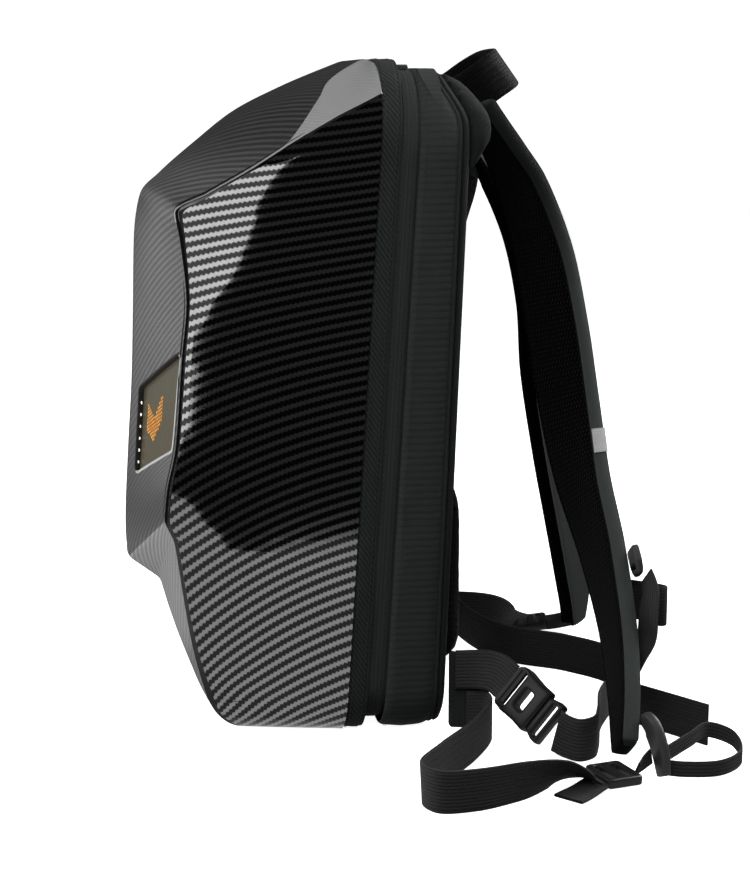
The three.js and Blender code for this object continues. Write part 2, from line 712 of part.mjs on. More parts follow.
// Zip slider on top, with its pull lying flat
const ZIP_TOP = [64, zipY(HEIGHT - BODY_DROP), HEIGHT - BODY_DROP];
addSolid("zip_slider", block([ZIP_TOP[0], ZIP_TOP[1], ZIP_TOP[2] + 2.4], [1, 0, 0], [0, 1, 0], 13, 9, 4, 1), METAL);
addSolid("zip_pull", block([ZIP_TOP[0] - 18, ZIP_TOP[1], ZIP_TOP[2] + 1.4], [1, 0, 0], [0, 1, 0], 20, 6, 1.6, 0.5), METAL);

export default root;
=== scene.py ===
"""Hard-shell riding backpack: a glossy twill shell with two screens, a soft body and a padded harness."""
import logging
import math
from contextlib import contextmanager
from dataclasses import dataclass, field
from enum import Enum, IntEnum
from typing import Callable, Iterator, Sequence

import bmesh
import bpy
import numpy as np
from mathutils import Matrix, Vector, noise
from mathutils.bvhtree import BVHTree


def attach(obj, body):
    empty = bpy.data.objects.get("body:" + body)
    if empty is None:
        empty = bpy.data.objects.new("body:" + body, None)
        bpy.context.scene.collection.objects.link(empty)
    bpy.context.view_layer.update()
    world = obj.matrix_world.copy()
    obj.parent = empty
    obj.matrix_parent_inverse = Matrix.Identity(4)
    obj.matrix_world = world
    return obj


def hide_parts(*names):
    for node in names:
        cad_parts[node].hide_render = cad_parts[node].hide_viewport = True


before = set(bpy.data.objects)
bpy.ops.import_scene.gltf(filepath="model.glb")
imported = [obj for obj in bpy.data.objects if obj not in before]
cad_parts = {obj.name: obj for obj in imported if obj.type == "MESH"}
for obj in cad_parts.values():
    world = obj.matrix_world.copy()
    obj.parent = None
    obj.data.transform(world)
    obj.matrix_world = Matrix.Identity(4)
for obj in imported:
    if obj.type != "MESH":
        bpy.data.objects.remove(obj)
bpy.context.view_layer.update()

LOG = logging.getLogger("backpack")
Array = np.ndarray
Colour = tuple[float, float, float, float]
Spot = tuple[float, float, float]
Depth = Callable[[Array], Array]
Mask = Callable[[Array], Array]

MM = 0.001
BASE_CENTRE = 42.0
HEIGHT = 470.0
HALF_WIDTH = 155.0
TOP_RADIUS = 60.0
BASE_RADIUS = 34.0
BACK_THICK = 6.0
BODY_DROP = 7.0
BAND_RAISE = 7.0
TAPE_RAISE = 0.6
BODY_RAISE = 0.8
SIDES = ((1.0, "right"), (-1.0, "left"))


def rim_y(z: Array | float) -> Array | float:
    """Depth of the shell's rear rim at a height."""
    return -3 + 0.06 * z


def zip_y(z: Array | float) -> Array | float:
    """Depth of the zip's middle at a height."""
    return rim_y(z) + 26.4


def smooth(t: Array | float) -> Array:
    """A soft step from nought to one."""
    t = np.clip(t, 0.0, 1.0)
    return t * t * (3 - 2 * t)


def back_y(z: Array | float) -> Array | float:
    """Depth of the back panel's front at a height, tucked in at the top."""
    return 61 + 0.04 * z - 13 * smooth((z - 424) / 36)


def grey(value: float) -> Colour:
    """A linear grey."""
    return (value, value, value, 1.0)


def shade(tone: tuple[float, float, float], share: float) -> Colour:
    """A colour darkened or lightened by a share."""
    return (*(c * share for c in tone), 1.0)


def place(points: Array) -> Array:
    """Table millimetres as metres in the part's own frame."""
    out = np.asarray(points, float).reshape(-1, 3) * MM
    out[:, 1] += BASE_CENTRE * MM
    return out


def unit(v: Array) -> Array:
    """Vectors scaled to length one."""
    return v / np.maximum(np.linalg.norm(v, axis=-1, keepdims=True), 1e-9)


def run_up(steps: Array) -> Array:
    """The sum of steps up to each of their ends, from nought."""
    return np.concatenate([[0], np.cumsum(steps)])


def lengths(points: Array) -> Array:
    """Length along a line up to each of its points."""
    return run_up(np.linalg.norm(np.diff(points, axis=0), axis=1))


def columns(q: Array, at: Array, rows: Array) -> Array:
    """Rows of values at given positions, read at other positions."""
    return np.stack([np.interp(q, at, rows[:, c]) for c in range(rows.shape[1])], 1)


def joined(points: Array, axis: int = 0) -> Array:
    """Points with the first of them added at the end."""
    return np.concatenate([points, np.take(points, [0], axis)], axis)


def laid_out(length: Array, girth: Array) -> Array:
    """Weave coordinates from the lengths along a piece and round it."""
    return np.stack(np.broadcast_arrays(length[:, None], girth[None]), -1)


def link(name: str, data: bpy.types.ID) -> bpy.types.Object:
    """A new object in the scene."""
    obj = bpy.data.objects.new(name, data)
    bpy.context.scene.collection.objects.link(obj)
    return obj


@contextmanager
def edited(mesh: bpy.types.Mesh) -> Iterator[bmesh.types.BMesh]:
    """A mesh opened for edits, which are written back at the end."""
    bm = bmesh.new()
    bm.from_mesh(mesh)
    yield bm
    bm.to_mesh(mesh)
    bm.free()


def look(obj: bpy.types.Object, at: Sequence[float], aim: Sequence[float]) -> None:
    """Sets a camera or a light at a place, turned to another."""
    obj.location = at
    obj.rotation_euler = (Vector(aim) - Vector(at)).to_track_quat("-Z", "Y").to_euler()


def monotone(xs: Array, ys: Array, q: Array) -> Array:
    """A smooth curve through points that never overshoots them.

    Args:
        xs: rising positions of the points.
        ys: values at the points, one row each.
        q: positions to read.

    Returns:
        The values at q, one row each.
    """
    h = np.diff(xs)[:, None]
    d = np.diff(ys, axis=0) / h
    m = np.zeros_like(ys)
    m[0], m[-1] = d[0], d[-1]
    if len(xs) > 2:
        w1, w2 = 2 * h[1:] + h[:-1], h[1:] + 2 * h[:-1]
        same = d[:-1] * d[1:] > 0
        safe = np.where(same, d[:-1], 1.0), np.where(same, d[1:], 1.0)
        m[1:-1] = np.where(same, (w1 + w2) / (w1 / safe[0] + w2 / safe[1]), 0.0)
    k = np.clip(np.searchsorted(xs, q, side="right") - 1, 0, len(xs) - 2)
    s = ((q - xs[k]) / (xs[k + 1] - xs[k]))[:, None]
    hk = h[k]
    return (
        (1 + 2 * s) * (1 - s) ** 2 * ys[k]
        + s * (1 - s) ** 2 * hk * m[k]
        + s * s * (3 - 2 * s) * ys[k + 1]
        + s * s * (s - 1) * hk * m[k + 1]
    )


def blur(values: Array, sigma: float, wrap: bool = False) -> Array:
    """Values along the first axis averaged with their neighbours.

    Args:
        values: one row for each sample.
        sigma: reach of the average, in samples.
        wrap: whether the ends meet.

    Returns:
        The averaged values.
    """
    n = int(3 * sigma) + 1
    k = np.exp(-0.5 * (np.arange(-n, n + 1) / sigma) ** 2)
    k /= k.sum()
    ends = {"mode": "wrap"} if wrap else {"mode": "reflect", "reflect_type": "odd"}
    pad = np.pad(values, ((n, n), (0, 0)), **ends)
    return np.stack([np.convolve(pad[:, c], k, mode="valid") for c in range(values.shape[1])], 1)


def rounded(corners: Sequence[tuple[float, float]], radius: float, steps: int = 5) -> Array:
    """A closed flat outline with round corners.

    Args:
        corners: the corners in order.
        radius: radius of each corner.
        steps: points for each corner, less one.

    Returns:
        The outline's points.
    """
    pts = np.asarray(corners, float)
    out = []
    for i, p in enumerate(pts):
        a, b = unit(pts[i - 1] - p), unit(pts[(i + 1) % len(pts)] - p)
        half = math.acos(max(-1.0, min(1.0, float(a @ b)))) / 2
        reach = radius / math.tan(half)
        for s in np.linspace(0, 1, steps + 1):
            out.append((1 - s) ** 2 * (p + a * reach) + 2 * s * (1 - s) * p + s * s * (p + b * reach))
    return np.array(out)


def mirrored(low: Sequence[tuple[float, float]], radius: float) -> Array:
    """A rounded outline given by the corners of its lower half."""
    return rounded([*low, *((x, -y) for x, y in reversed(low))], radius, 4)


def even(line: Array, count: int, closed: bool = False) -> Array:
    """A line read at even steps.

    Args:
        line: points along the line.
        count: how many points to return.
        closed: whether the last point joins the first.

    Returns:
        The points.
    """
    pts = joined(line) if closed else np.asarray(line)
    s = lengths(pts)
    q = np.linspace(0, s[-1], count + 1)[:-1] if closed else np.linspace(0, s[-1], count)
    return columns(q, s, pts)


@dataclass
class Shape:
    """Points in table millimetres with faces, weave coordinates for each corner and finishes."""

    points: list[Array] = field(default_factory=list)
    faces: list[list[int]] = field(default_factory=list)
    weave: list[Array] = field(default_factory=list)
    index: list[int] = field(default_factory=list)
    count: int = 0

    def grid(
        self,
        pts: Array,
        weave: Array | None = None,
        index: int | Array = 0,
        wrap: tuple[bool, bool] = (False, False),
        flip: bool = False,
    ) -> Array:
        """Adds a grid of points joined by four-sided faces.

        Args:
            pts: points by row and column.
            weave: weave coordinates by row and column, with one more where the grid wraps.
            index: the finish, or one for each face by row and column.
            wrap: whether the rows and the columns run round.
            flip: whether the faces are turned.

        Returns:
            The numbers of the points by row and column.
        """
        rows, cols = pts.shape[:2]
        ids = np.arange(rows * cols).reshape(rows, cols) + self.count
        i, j = np.meshgrid(np.arange(rows - 1 + wrap[0]), np.arange(cols - 1 + wrap[1]), indexing="ij")
        i2, j2 = (i + 1) % rows, (j + 1) % cols
        quads = np.stack([ids[i, j], ids[i, j2], ids[i2, j2], ids[i2, j]], -1).reshape(-1, 4)
        if weave is None:
            uv = np.zeros((len(quads), 4, 2))
        else:
            uv = np.stack([weave[i, j], weave[i, j + 1], weave[i + 1, j + 1], weave[i + 1, j]], -2)
            uv = uv.reshape(-1, 4, 2)
        if flip:
            quads, uv = quads[:, ::-1], uv[:, ::-1]
        self.points.append(pts.reshape(-1, 3))
        self.faces.extend(quads.tolist())
        self.weave.append(uv.reshape(-1, 2))
        self.index.extend(np.broadcast_to(index, i.shape).ravel().tolist())
        self.count += rows * cols
        return ids

    def cap(self, ids: Sequence[int], index: int = 0) -> None:
        """Closes a loop of points with one face."""
        self.faces.append([int(k) for k in ids])
        self.weave.append(np.zeros((len(ids), 2)))
        self.index.append(index)

    def tube(self, pts: Array, weave: Array | None = None, index: int | Array = 0) -> None:
        """Adds a grid that runs round by its columns and is closed at both ends."""
        ids = self.grid(pts, weave, index, (False, True))
        tail = int(np.asarray(index).flat[0])
        self.cap(ids[0][::-1], tail)
        self.cap(ids[-1], tail)

    def leaf(self, front: Array, back: Array, weave: Array | None = None, flip: bool = False) -> None:
        """Adds a front and a back grid with their edges closed."""
        self.grid(front, weave, flip=flip)
        self.grid(back, weave, flip=not flip)
        ends = (front[0], back[0]), (back[-1], front[-1])
        for pair in (*ends, (back[:, 0], front[:, 0]), (front[:, -1], back[:, -1])):
            self.grid(np.stack(pair))

    def solid(self, pts: Array, faces: Sequence[Sequence[int]]) -> None:
        """Adds a ready-made solid."""
        for f in faces:
            self.faces.append([int(k) + self.count for k in f])
            p = np.asarray(pts)[list(f)]
            self.weave.append(p[:, :2])
            self.index.append(0)
        self.points.append(np.asarray(pts, float))
        self.count += len(pts)

    def make(
        self, name: str, finishes: Sequence[bpy.types.Material], angle: float = 38.0
    ) -> bpy.types.Object:
        """Turns the shape into an object at the origin.

        Args:
            name: the piece's name.
            finishes: its materials in the order of the finish numbers.
            angle: edges sharper than this, in degrees, stay sharp.

        Returns:
            The object.
        """
        mesh = bpy.data.meshes.new(name)
        mesh.from_pydata(place(np.concatenate(self.points)).tolist(), [], self.faces)
        layer = mesh.uv_layers.new(name="weave")
        layer.data.foreach_set("uv", np.concatenate(self.weave).ravel().astype(np.float32))
        mesh.polygons.foreach_set("material_index", np.array(self.index, np.int32))
        with edited(mesh) as bm:
            bmesh.ops.remove_doubles(bm, verts=bm.verts, dist=2e-6)
            bmesh.ops.recalc_face_normals(bm, faces=bm.faces)
        return as_object(name, mesh, finishes, angle)


def as_object(
    name: str, mesh: bpy.types.Mesh, finishes: Sequence[bpy.types.Material], angle: float
) -> bpy.types.Object:
    """A mesh as a shown object with its finishes.

    Args:
        name: the object's name.
        mesh: its mesh, in place.
        finishes: its materials in order.
        angle: edges sharper than this, in degrees, stay sharp.

    Returns:
        The object.
    """
    mesh.name = name
    kinds = np.zeros(len(mesh.polygons), np.int32)
    mesh.polygons.foreach_get("material_index", kinds)
    mesh.materials.clear()
    for finish in finishes:
        mesh.materials.append(finish)
    mesh.polygons.foreach_set("material_index", np.minimum(kinds, len(finishes) - 1))
    mesh.polygons.foreach_set("use_smooth", np.ones(len(mesh.polygons), bool))
    mesh.set_sharp_from_angle(angle=math.radians(angle))
    return link(name, mesh)


def baked(
    obj: bpy.types.Object, name: str, finishes: Sequence[bpy.types.Material], angle: float
) -> bpy.types.Object:
    """An object with its modifiers applied, in place of the object.

    Args:
        obj: the object with live modifiers.
        name: name of the result.
        finishes: materials of the result.
        angle: edges sharper than this, in degrees, stay sharp.

    Returns:
        The new object.
    """
    bpy.context.view_layer.update()
    graph = bpy.context.evaluated_depsgraph_get()
    shown = obj.evaluated_get(graph)
    mesh = bpy.data.meshes.new_from_object(shown, preserve_all_data_layers=True, depsgraph=graph)
    old = obj.data
    bpy.data.objects.remove(obj)
    if old.users == 0 and isinstance(old, bpy.types.Mesh):
        bpy.data.meshes.remove(old)
    return as_object(name, mesh, finishes, angle)


def dress(obj: bpy.types.Object, nodes: Sequence[str] = ()) -> None:
    """Joins a finished piece to the part and reports it.

    Args:
        obj: the piece.
        nodes: the solids that it stands for.
    """
    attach(obj, "root")
    if nodes:
        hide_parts(*nodes)
    LOG.info("%s: %d faces", obj.name, len(obj.data.polygons))


class Value:
    """A shader socket that takes part in Python arithmetic."""

    def __init__(self, kit: "Shader", socket: bpy.types.NodeSocket) -> None:
        """Keeps the socket and the shader it belongs to."""
        self.kit = kit
        self.socket = socket

    def __add__(self, other: "Value | float") -> "Value":
        """Sum."""
        return self.kit.math("ADD", self, other)

    __radd__ = __add__

    def __sub__(self, other: "Value | float") -> "Value":
        """Difference."""
        return self.kit.math("SUBTRACT", self, other)

    def __rsub__(self, other: "Value | float") -> "Value":
        """Difference the other way."""
        return self.kit.math("SUBTRACT", other, self)

    def __mul__(self, other: "Value | float") -> "Value":
        """Product."""
        return self.kit.math("MULTIPLY", self, other)

    __rmul__ = __mul__

    def __truediv__(self, other: "Value | float") -> "Value":
        """Quotient."""
        return self.kit.math("DIVIDE", self, other)

    def __lt__(self, other: "Value | float") -> "Value":
        """One where this is the smaller."""
        return self.kit.math("LESS_THAN", self, other)

    def __gt__(self, other: "Value | float") -> "Value":
        """One where this is the larger."""
        return self.kit.math("GREATER_THAN", self, other)

    def __mod__(self, other: float) -> "Value":
        """Remainder that is never negative."""
        return self.kit.math("FLOORED_MODULO", self, other)

    def floor(self) -> "Value":
        """The whole part."""
        return self.kit.math("FLOOR", self)

    def part(self) -> "Value":
        """The part after the point."""
        return self.kit.math("FRACT", self)

    def hump(self) -> "Value":
        """A rounded hump over each whole step."""
        f = self.part()
        return 4.0 * f * (1.0 - f)


class Shader:
    """A material under construction, with a principled surface."""

    def __init__(self, name: str) -> None:
        """Starts an empty material of that name."""
        self.material = bpy.data.materials.new(name)
        self.material.use_nodes = True
        self.tree = self.material.node_tree
        self.tree.nodes.clear()
        self.output = self.tree.nodes.new("ShaderNodeOutputMaterial")
        self.surface = self.tree.nodes.new("ShaderNodeBsdfPrincipled")
        self.tree.links.new(self.surface.outputs[0], self.output.inputs[0])

    def feed(self, socket: bpy.types.NodeSocket, value: "Value | float | Sequence[float]") -> None:
        """Links a value to a socket, or sets it there."""
        if isinstance(value, Value):
            self.tree.links.new(value.socket, socket)
        else:
            socket.default_value = value

    def node(
        self, kind: str, settings: dict | None = None, sockets: dict | None = None, out: int | str = 0
    ) -> Value:
        """Adds any node.

        Args:
            kind: the node's type.
            settings: its own settings, set first.
            sockets: values or links of its sockets, by name or number.
            out: the socket to return, by name or number.

        Returns:
            The chosen output.
        """
        made = self.tree.nodes.new(kind)
        for key, value in (settings or {}).items():
            setattr(made, key, value)
        for key, value in (sockets or {}).items():
            self.feed(made.inputs[key], value)
        return Value(self, made.outputs[out])

    def math(self, operation: str, a: Value | float, b: Value | float = 0.0) -> Value:
        """One Math node on one or two numbers."""
        return self.node("ShaderNodeMath", {"operation": operation}, {0: a, 1: b})

    def mix(self, factor: Value, a: Value | Colour, b: Value | Colour) -> Value:
        """A colour between two colours."""
        return self.node("ShaderNodeMix", {"data_type": "RGBA"}, {0: factor, 6: a, 7: b}, 2)

    def ramp(self, value: Value, low: float, high: float) -> Value:
        """A soft step from nought at the low value to one at the high one."""
        soft = {"interpolation_type": "SMOOTHSTEP"}
        return self.node("ShaderNodeMapRange", soft, {0: value, 1: low, 2: high})

    def weave(self) -> tuple[Value, Value]:
        """The piece's own weave coordinates, in millimetres."""
        uv = self.node("ShaderNodeUVMap", {"uv_map": "weave"})
        split = self.node("ShaderNodeSeparateXYZ", None, {0: uv})
        return split, Value(self, split.socket.node.outputs[1])

    def flat(self) -> tuple[Value, Value, Value]:
        """Place on the part, in millimetres."""
        at = self.node("ShaderNodeTexCoord", None, None, "Object")
        split = self.node("ShaderNodeSeparateXYZ", None, {0: at})
        return tuple(Value(self, split.socket.node.outputs[k]) * 1000.0 for k in range(3))

    def laid(self, coords: "Coords") -> tuple[Value, Value]:
        """The coordinates that a pattern is laid on, in millimetres."""
        return self.weave() if coords is Coords.WEAVE else self.flat()[::2]

    def noise(self, scale: float, detail: float, stretch: tuple[float, float, float] = (1, 1, 1)) -> Value:
        """Soft noise over the part.

        Args:
            scale: cells for each metre.
            detail: how many finer layers are added.
            stretch: scale along each axis.

        Returns:
            A value about a half.
        """
        at = self.node("ShaderNodeTexCoord", None, None, "Object")
        turned = self.node("ShaderNodeMapping", None, {"Vector": at, "Scale": stretch})
        return self.node("ShaderNodeTexNoise", None, {"Vector": turned, "Scale": scale, "Detail": detail})

    def relief(self, height: Value, distance: float) -> Value:
        """A bumped normal of a given depth in metres."""
        return self.node("ShaderNodeBump", None, {"Strength": 1.0, "Distance": distance, "Height": height})

    def done(self, constants: dict | None = None, **varying: Value | float | Colour) -> bpy.types.Material:
        """Sets the surface and returns the material.

        Args:
            constants: values that are the same all over, by socket name.
            varying: values or links named base, roughness, metallic, coat, emission or normal.

        Returns:
            The material.
        """
        names = {
            "base": "Base Color",
            "roughness": "Roughness",
            "metallic": "Metallic",
            "coat": "Coat Weight",
            "emission": "Emission Color",
            "normal": "Normal",
        }
        for key, value in varying.items():
            self.feed(self.surface.inputs[names[key]], value)
        for key, value in (constants or {}).items():
            self.surface.inputs[key].default_value = value
        return self.material


@dataclass(frozen=True)
class CarbonTwill:
    """Two-by-two twill under a clear finish: silvery bands with stepped edges on black ones."""

    name: str
    dark: float
    light: float
    metal: float
    rough: tuple[float, float]
    tow: float = 2.545
    stretch: float = 1.16
    depth: float = 0.0
    spread: float = 0.12
    jag: float = 0.8
    share: float = 0.62
    edge: float = 0.14
    coat: float = 0.0
    # Height in mm of a paler band on the weave that fades out 44 mm above it: painted light where the dome
    # faces up and forward; nought for none
    painted_light_from: float = 0.0

    def build(self) -> bpy.types.Material:
        """Makes the material."""
        kit = Shader(self.name)
        x, y = kit.weave()
        k = 1 / (math.sqrt(2) * self.tow)
        a = x * (self.stretch * k) + y * k
        b = x * (self.stretch * k) - y * k
        step = (a - b) - (a.part() - b.part()) * self.jag
        off = kit.math("ABSOLUTE", ((step + 0.5) % 4.0) - 2.0)
        lit = 1.0 - kit.ramp(off, self.share - self.edge, self.share + self.edge)
        cell = kit.node("ShaderNodeCombineXYZ", None, {0: a.floor(), 1: b.floor()})
        chance = kit.node("ShaderNodeTexWhiteNoise", {"noise_dimensions": "2D"}, {"Vector": cell})
        drawn = kit.node("ShaderNodeCombineXYZ", None, {0: x * 0.35, 1: y * 2.2})
        strands = kit.node("ShaderNodeTexNoise", None, {"Vector": drawn, "Scale": 1.0, "Detail": 2.0})
        tone = lit * (1.0 - self.spread + self.spread * 2.0 * (chance * 0.6 + strands * 0.4))
        base = kit.mix(tone, grey(self.dark), grey(self.light))
        # Paler copy of the weave in a band over the brow: painted light
        if self.painted_light_from > 0:
            z = kit.flat()[2]
            over = kit.ramp(z, self.painted_light_from - 8.0, self.painted_light_from + 2.0)
            gone = kit.ramp(z, self.painted_light_from, self.painted_light_from + 44.0)
            painted_light_tone = kit.mix(tone, grey(self.dark * 2.7), grey(self.light * 2.3))
            base = kit.mix(over * (1.0 - gone), base, painted_light_tone)
        smear = kit.noise(14.0, 3.0)
        rough = lit * (self.rough[1] - self.rough[0]) + self.rough[0] + (smear - 0.5) * 0.03
        varying = {"base": base, "metallic": self.metal, "roughness": rough, "coat": self.coat}
        if self.depth > 0:
            varying["normal"] = kit.relief(lit, self.depth)
        return kit.done({"Specular IOR Level": 0.5, "Coat Roughness": 0.04}, **varying)


@dataclass(frozen=True)
class SmoothShell:
    """Plain moulded shell without a visible weave."""

    name: str
    tone: float
    rough: float

    def build(self) -> bpy.types.Material:
        """Makes the material."""
        kit = Shader(self.name)
        grain = kit.noise(900.0, 2.0)
        cloud = kit.noise(18.0, 3.0)
        base = kit.mix(cloud, grey(self.tone * 0.85), grey(self.tone * 1.15))
        return kit.done(
            {"Specular IOR Level": 0.5},
            base=base,
            roughness=self.rough + (grain - 0.5) * 0.12,
            normal=kit.relief(grain, 0.00004),
        )


class Coords(Enum):
    """What a cloth pattern is laid on."""

    WEAVE = "weave"
    BACK = "back"


@dataclass(frozen=True)
class WovenCloth:
    """Plain-woven nylon: crossing threads, slubs and a soft sheen."""

    name: str
    tone: tuple[float, float, float]
    thread: float = 0.9
    depth: float = 0.00018
    rough: float = 0.82
    coords: Coords = Coords.WEAVE
    cords: float = 0.0
    bars: float = 0.0
    # Height in mm above which the cloth darkens over 110 mm to 0.22 of its tone: painted shade towards the
    # top; nought for none
    painted_shade_from: float = 0.0

    def build(self) -> bpy.types.Material:
        """Makes the material."""
        kit = Shader(self.name)
        x, y = kit.laid(self.coords)
        a, b = x / self.thread, y / self.thread
        over = ((a.floor() + b.floor()) % 2.0) < 1.0
        height = over * a.hump() + (1.0 - over) * b.hump()
        slub = kit.noise(260.0, 3.0, (1.0, 1.0, 0.25))
        worn = kit.noise(22.0, 3.0)
        tone = height * 0.35 + slub * 0.35 + worn * 0.45
        for line, pitch in ((y, self.cords), (x, self.bars)):
            if pitch > 0:
                ribs = (line / pitch).hump()
                height = height * 0.5 + ribs * 1.6
                tone = tone * 0.6 + ribs * 0.42
        dark = shade(self.tone, 0.72)
        light = shade(self.tone, 1.35)
        base = kit.mix(tone, dark, light)
        # Darker towards the top: painted shade
        if self.painted_shade_from > 0:
            high = kit.ramp(kit.flat()[2], self.painted_shade_from, self.painted_shade_from + 110.0)
            base = kit.mix(high, base, shade(self.tone, 0.22))
        return kit.done(
            {"Specular IOR Level": 0.12, "Sheen Weight": 0.03, "Sheen Roughness": 0.4},
            base=base,
            roughness=self.rough + (slub - 0.5) * 0.16,
            normal=kit.relief(height * 0.7 + slub * 0.6, self.depth),
        )


@dataclass(frozen=True)
class TwillTape:
    """Edge tape with a steep diagonal rib."""

    name: str
    tone: tuple[float, float, float]
    rib: float = 2.3

    def build(self) -> bpy.types.Material:
        """Makes the material."""
        kit = Shader(self.name)
        x, y = kit.weave()
        line = (x * 0.8 + y * 1.1) / self.rib
        cross = (x * 1.1 - y * 0.8) / (self.rib * 0.55)
        height = line.hump() * (0.7 + 0.3 * cross.hump())
        worn = kit.noise(30.0, 3.0)
        dark = shade(self.tone, 0.08)
        light = shade(self.tone, 1.9)
        return kit.done(
            {"Specular IOR Level": 0.12, "Sheen Weight": 0.02},
            base=kit.mix(height * 0.75 + worn * 0.3, dark, light),
            roughness=0.8 + (worn - 0.5) * 0.2,
            normal=kit.relief(height, 0.0005),
        )


@dataclass(frozen=True)
class AirMesh:
    """Spacer mesh: a soft net of round holes over dark foam."""

    name: str
    tone: tuple[float, float, float]
    pitch: float = 3.0
    coords: Coords = Coords.WEAVE

    def build(self) -> bpy.types.Material:
        """Makes the material."""
        kit = Shader(self.name)
        x, y = kit.laid(self.coords)
        k = 2 * math.pi / self.pitch
        lean, climb = x * (k / 2), y * (k * 0.866)
        waves = [kit.math("COSINE", way) for way in (x * k, lean + climb, lean - climb)]
        ring = waves[0] + waves[1] + waves[2]
        net = kit.math("SMOOTH_MIN", 1.6 - ring, 1.2) / 2.4
        fuzz = kit.noise(500.0, 2.0)
        worn = kit.noise(16.0, 3.0)
        dark = shade(self.tone, 0.2)
        light = shade(self.tone, 1.4)
        return kit.done(
            {"Specular IOR Level": 0.05, "Sheen Weight": 0.02, "Sheen Roughness": 0.5},
            base=kit.mix(net * 0.8 + fuzz * 0.3 + (worn - 0.5) * 0.4, dark, light),
            roughness=0.9 + (fuzz - 0.5) * 0.1,
            normal=kit.relief(net + fuzz * 0.3, 0.0007),
        )


@dataclass(frozen=True)
class Webbing:
    """Ribbed webbing: cords along it, crossed by picks that lean in turns."""

    name: str
    tone: float
    cord: float = 2.4
    pick: float = 1.5

    def build(self) -> bpy.types.Material:
        """Makes the material."""
        kit = Shader(self.name)
        x, y = kit.weave()
        rib = y / self.cord
        lean = ((rib.floor() % 2.0) * 2.0 - 1.0) * rib.part()
        pick = (x / self.pick + lean * 0.9).hump()
        height = rib.hump() * 0.65 + pick * 0.45
        worn = kit.noise(40.0, 3.0)
        base = kit.mix(height * 0.8 + worn * 0.3, grey(self.tone * 0.15), grey(self.tone * 2.1))
        return kit.done(
            {"Specular IOR Level": 0.12, "Sheen Weight": 0.02},
            base=base,
            roughness=0.62 + (worn - 0.5) * 0.2,
            normal=kit.relief(height, 0.0005),
        )


@dataclass(frozen=True)
class MouldedPlastic:
    """Moulded plastic with a fine spark-eroded grain."""

    name: str
    tone: float
    rough: float
    metal: float = 0.0

    def build(self) -> bpy.types.Material:
        """Makes the material."""
        kit = Shader(self.name)
        grain = kit.noise(1400.0, 2.0)
        rub = kit.noise(90.0, 4.0)
        base = kit.mix(rub, grey(self.tone * 0.8), grey(self.tone * 1.25))
        return kit.done(
            {"Specular IOR Level": 0.5},
            base=base,
            metallic=self.metal,
            roughness=self.rough + (rub - 0.5) * 0.14 + (grain - 0.5) * 0.08,
            normal=kit.relief(grain, 0.00005),
        )


@dataclass(frozen=True)
class DotPanel:
    """The screen's face: a smoky panel with rows of unlit dots."""

    name: str
    pitch: float = 2.6

    def build(self) -> bpy.types.Material:
        """Makes the material."""
        kit = Shader(self.name)
        x, y = kit.weave()
        u, v = x / self.pitch, y / self.pitch
        dot = u.hump() * v.hump()
        lamp = dot > 0.55
        haze = kit.noise(30.0, 3.0)
        panel = kit.mix(haze, (0.0245, 0.0205, 0.0112, 1.0), (0.0330, 0.0285, 0.0162, 1.0))
        base = kit.mix(lamp * 0.35, panel, (0.0560, 0.0505, 0.0340, 1.0))
        return kit.done(
            {"Specular IOR Level": 0.15, "Coat Roughness": 0.12, "Emission Strength": 0.0},
            base=base,
            roughness=0.42 + (haze - 0.5) * 0.1,
            coat=0.02,
            normal=kit.relief(dot, 0.0001),
        )


@dataclass(frozen=True)
class Lamp:
    """A small lit dot with a hot middle."""

    name: str
    edge: Colour
    heart: Colour
    power: float

    def build(self) -> bpy.types.Material:
        """Makes the material."""
        kit = Shader(self.name)
        flicker = kit.noise(70.0, 1.0)
        tint = kit.mix(flicker, self.edge, self.heart)
        return kit.done({"Emission Strength": self.power}, base=tint, emission=tint, roughness=0.4)


@dataclass(frozen=True)
class GlassBead:
    """Reflective tape: a pale film with a fine honeycomb."""

    name: str
    tone: float

    def build(self) -> bpy.types.Material:
        """Makes the material."""
        kit = Shader(self.name)
        x, y, z = kit.flat()
        cell = (z / 1.6).hump() * ((x + y) / 1.6).hump()
        dirt = kit.noise(120.0, 3.0)
        base = kit.mix(cell * 0.4 + dirt * 0.5, grey(self.tone * 0.75), grey(self.tone * 1.2))
        return kit.done(
            {"Specular IOR Level": 0.6},
            base=base,
            metallic=0.15,
            roughness=0.42 + (dirt - 0.5) * 0.2,
            normal=kit.relief(cell, 0.0001),
        )


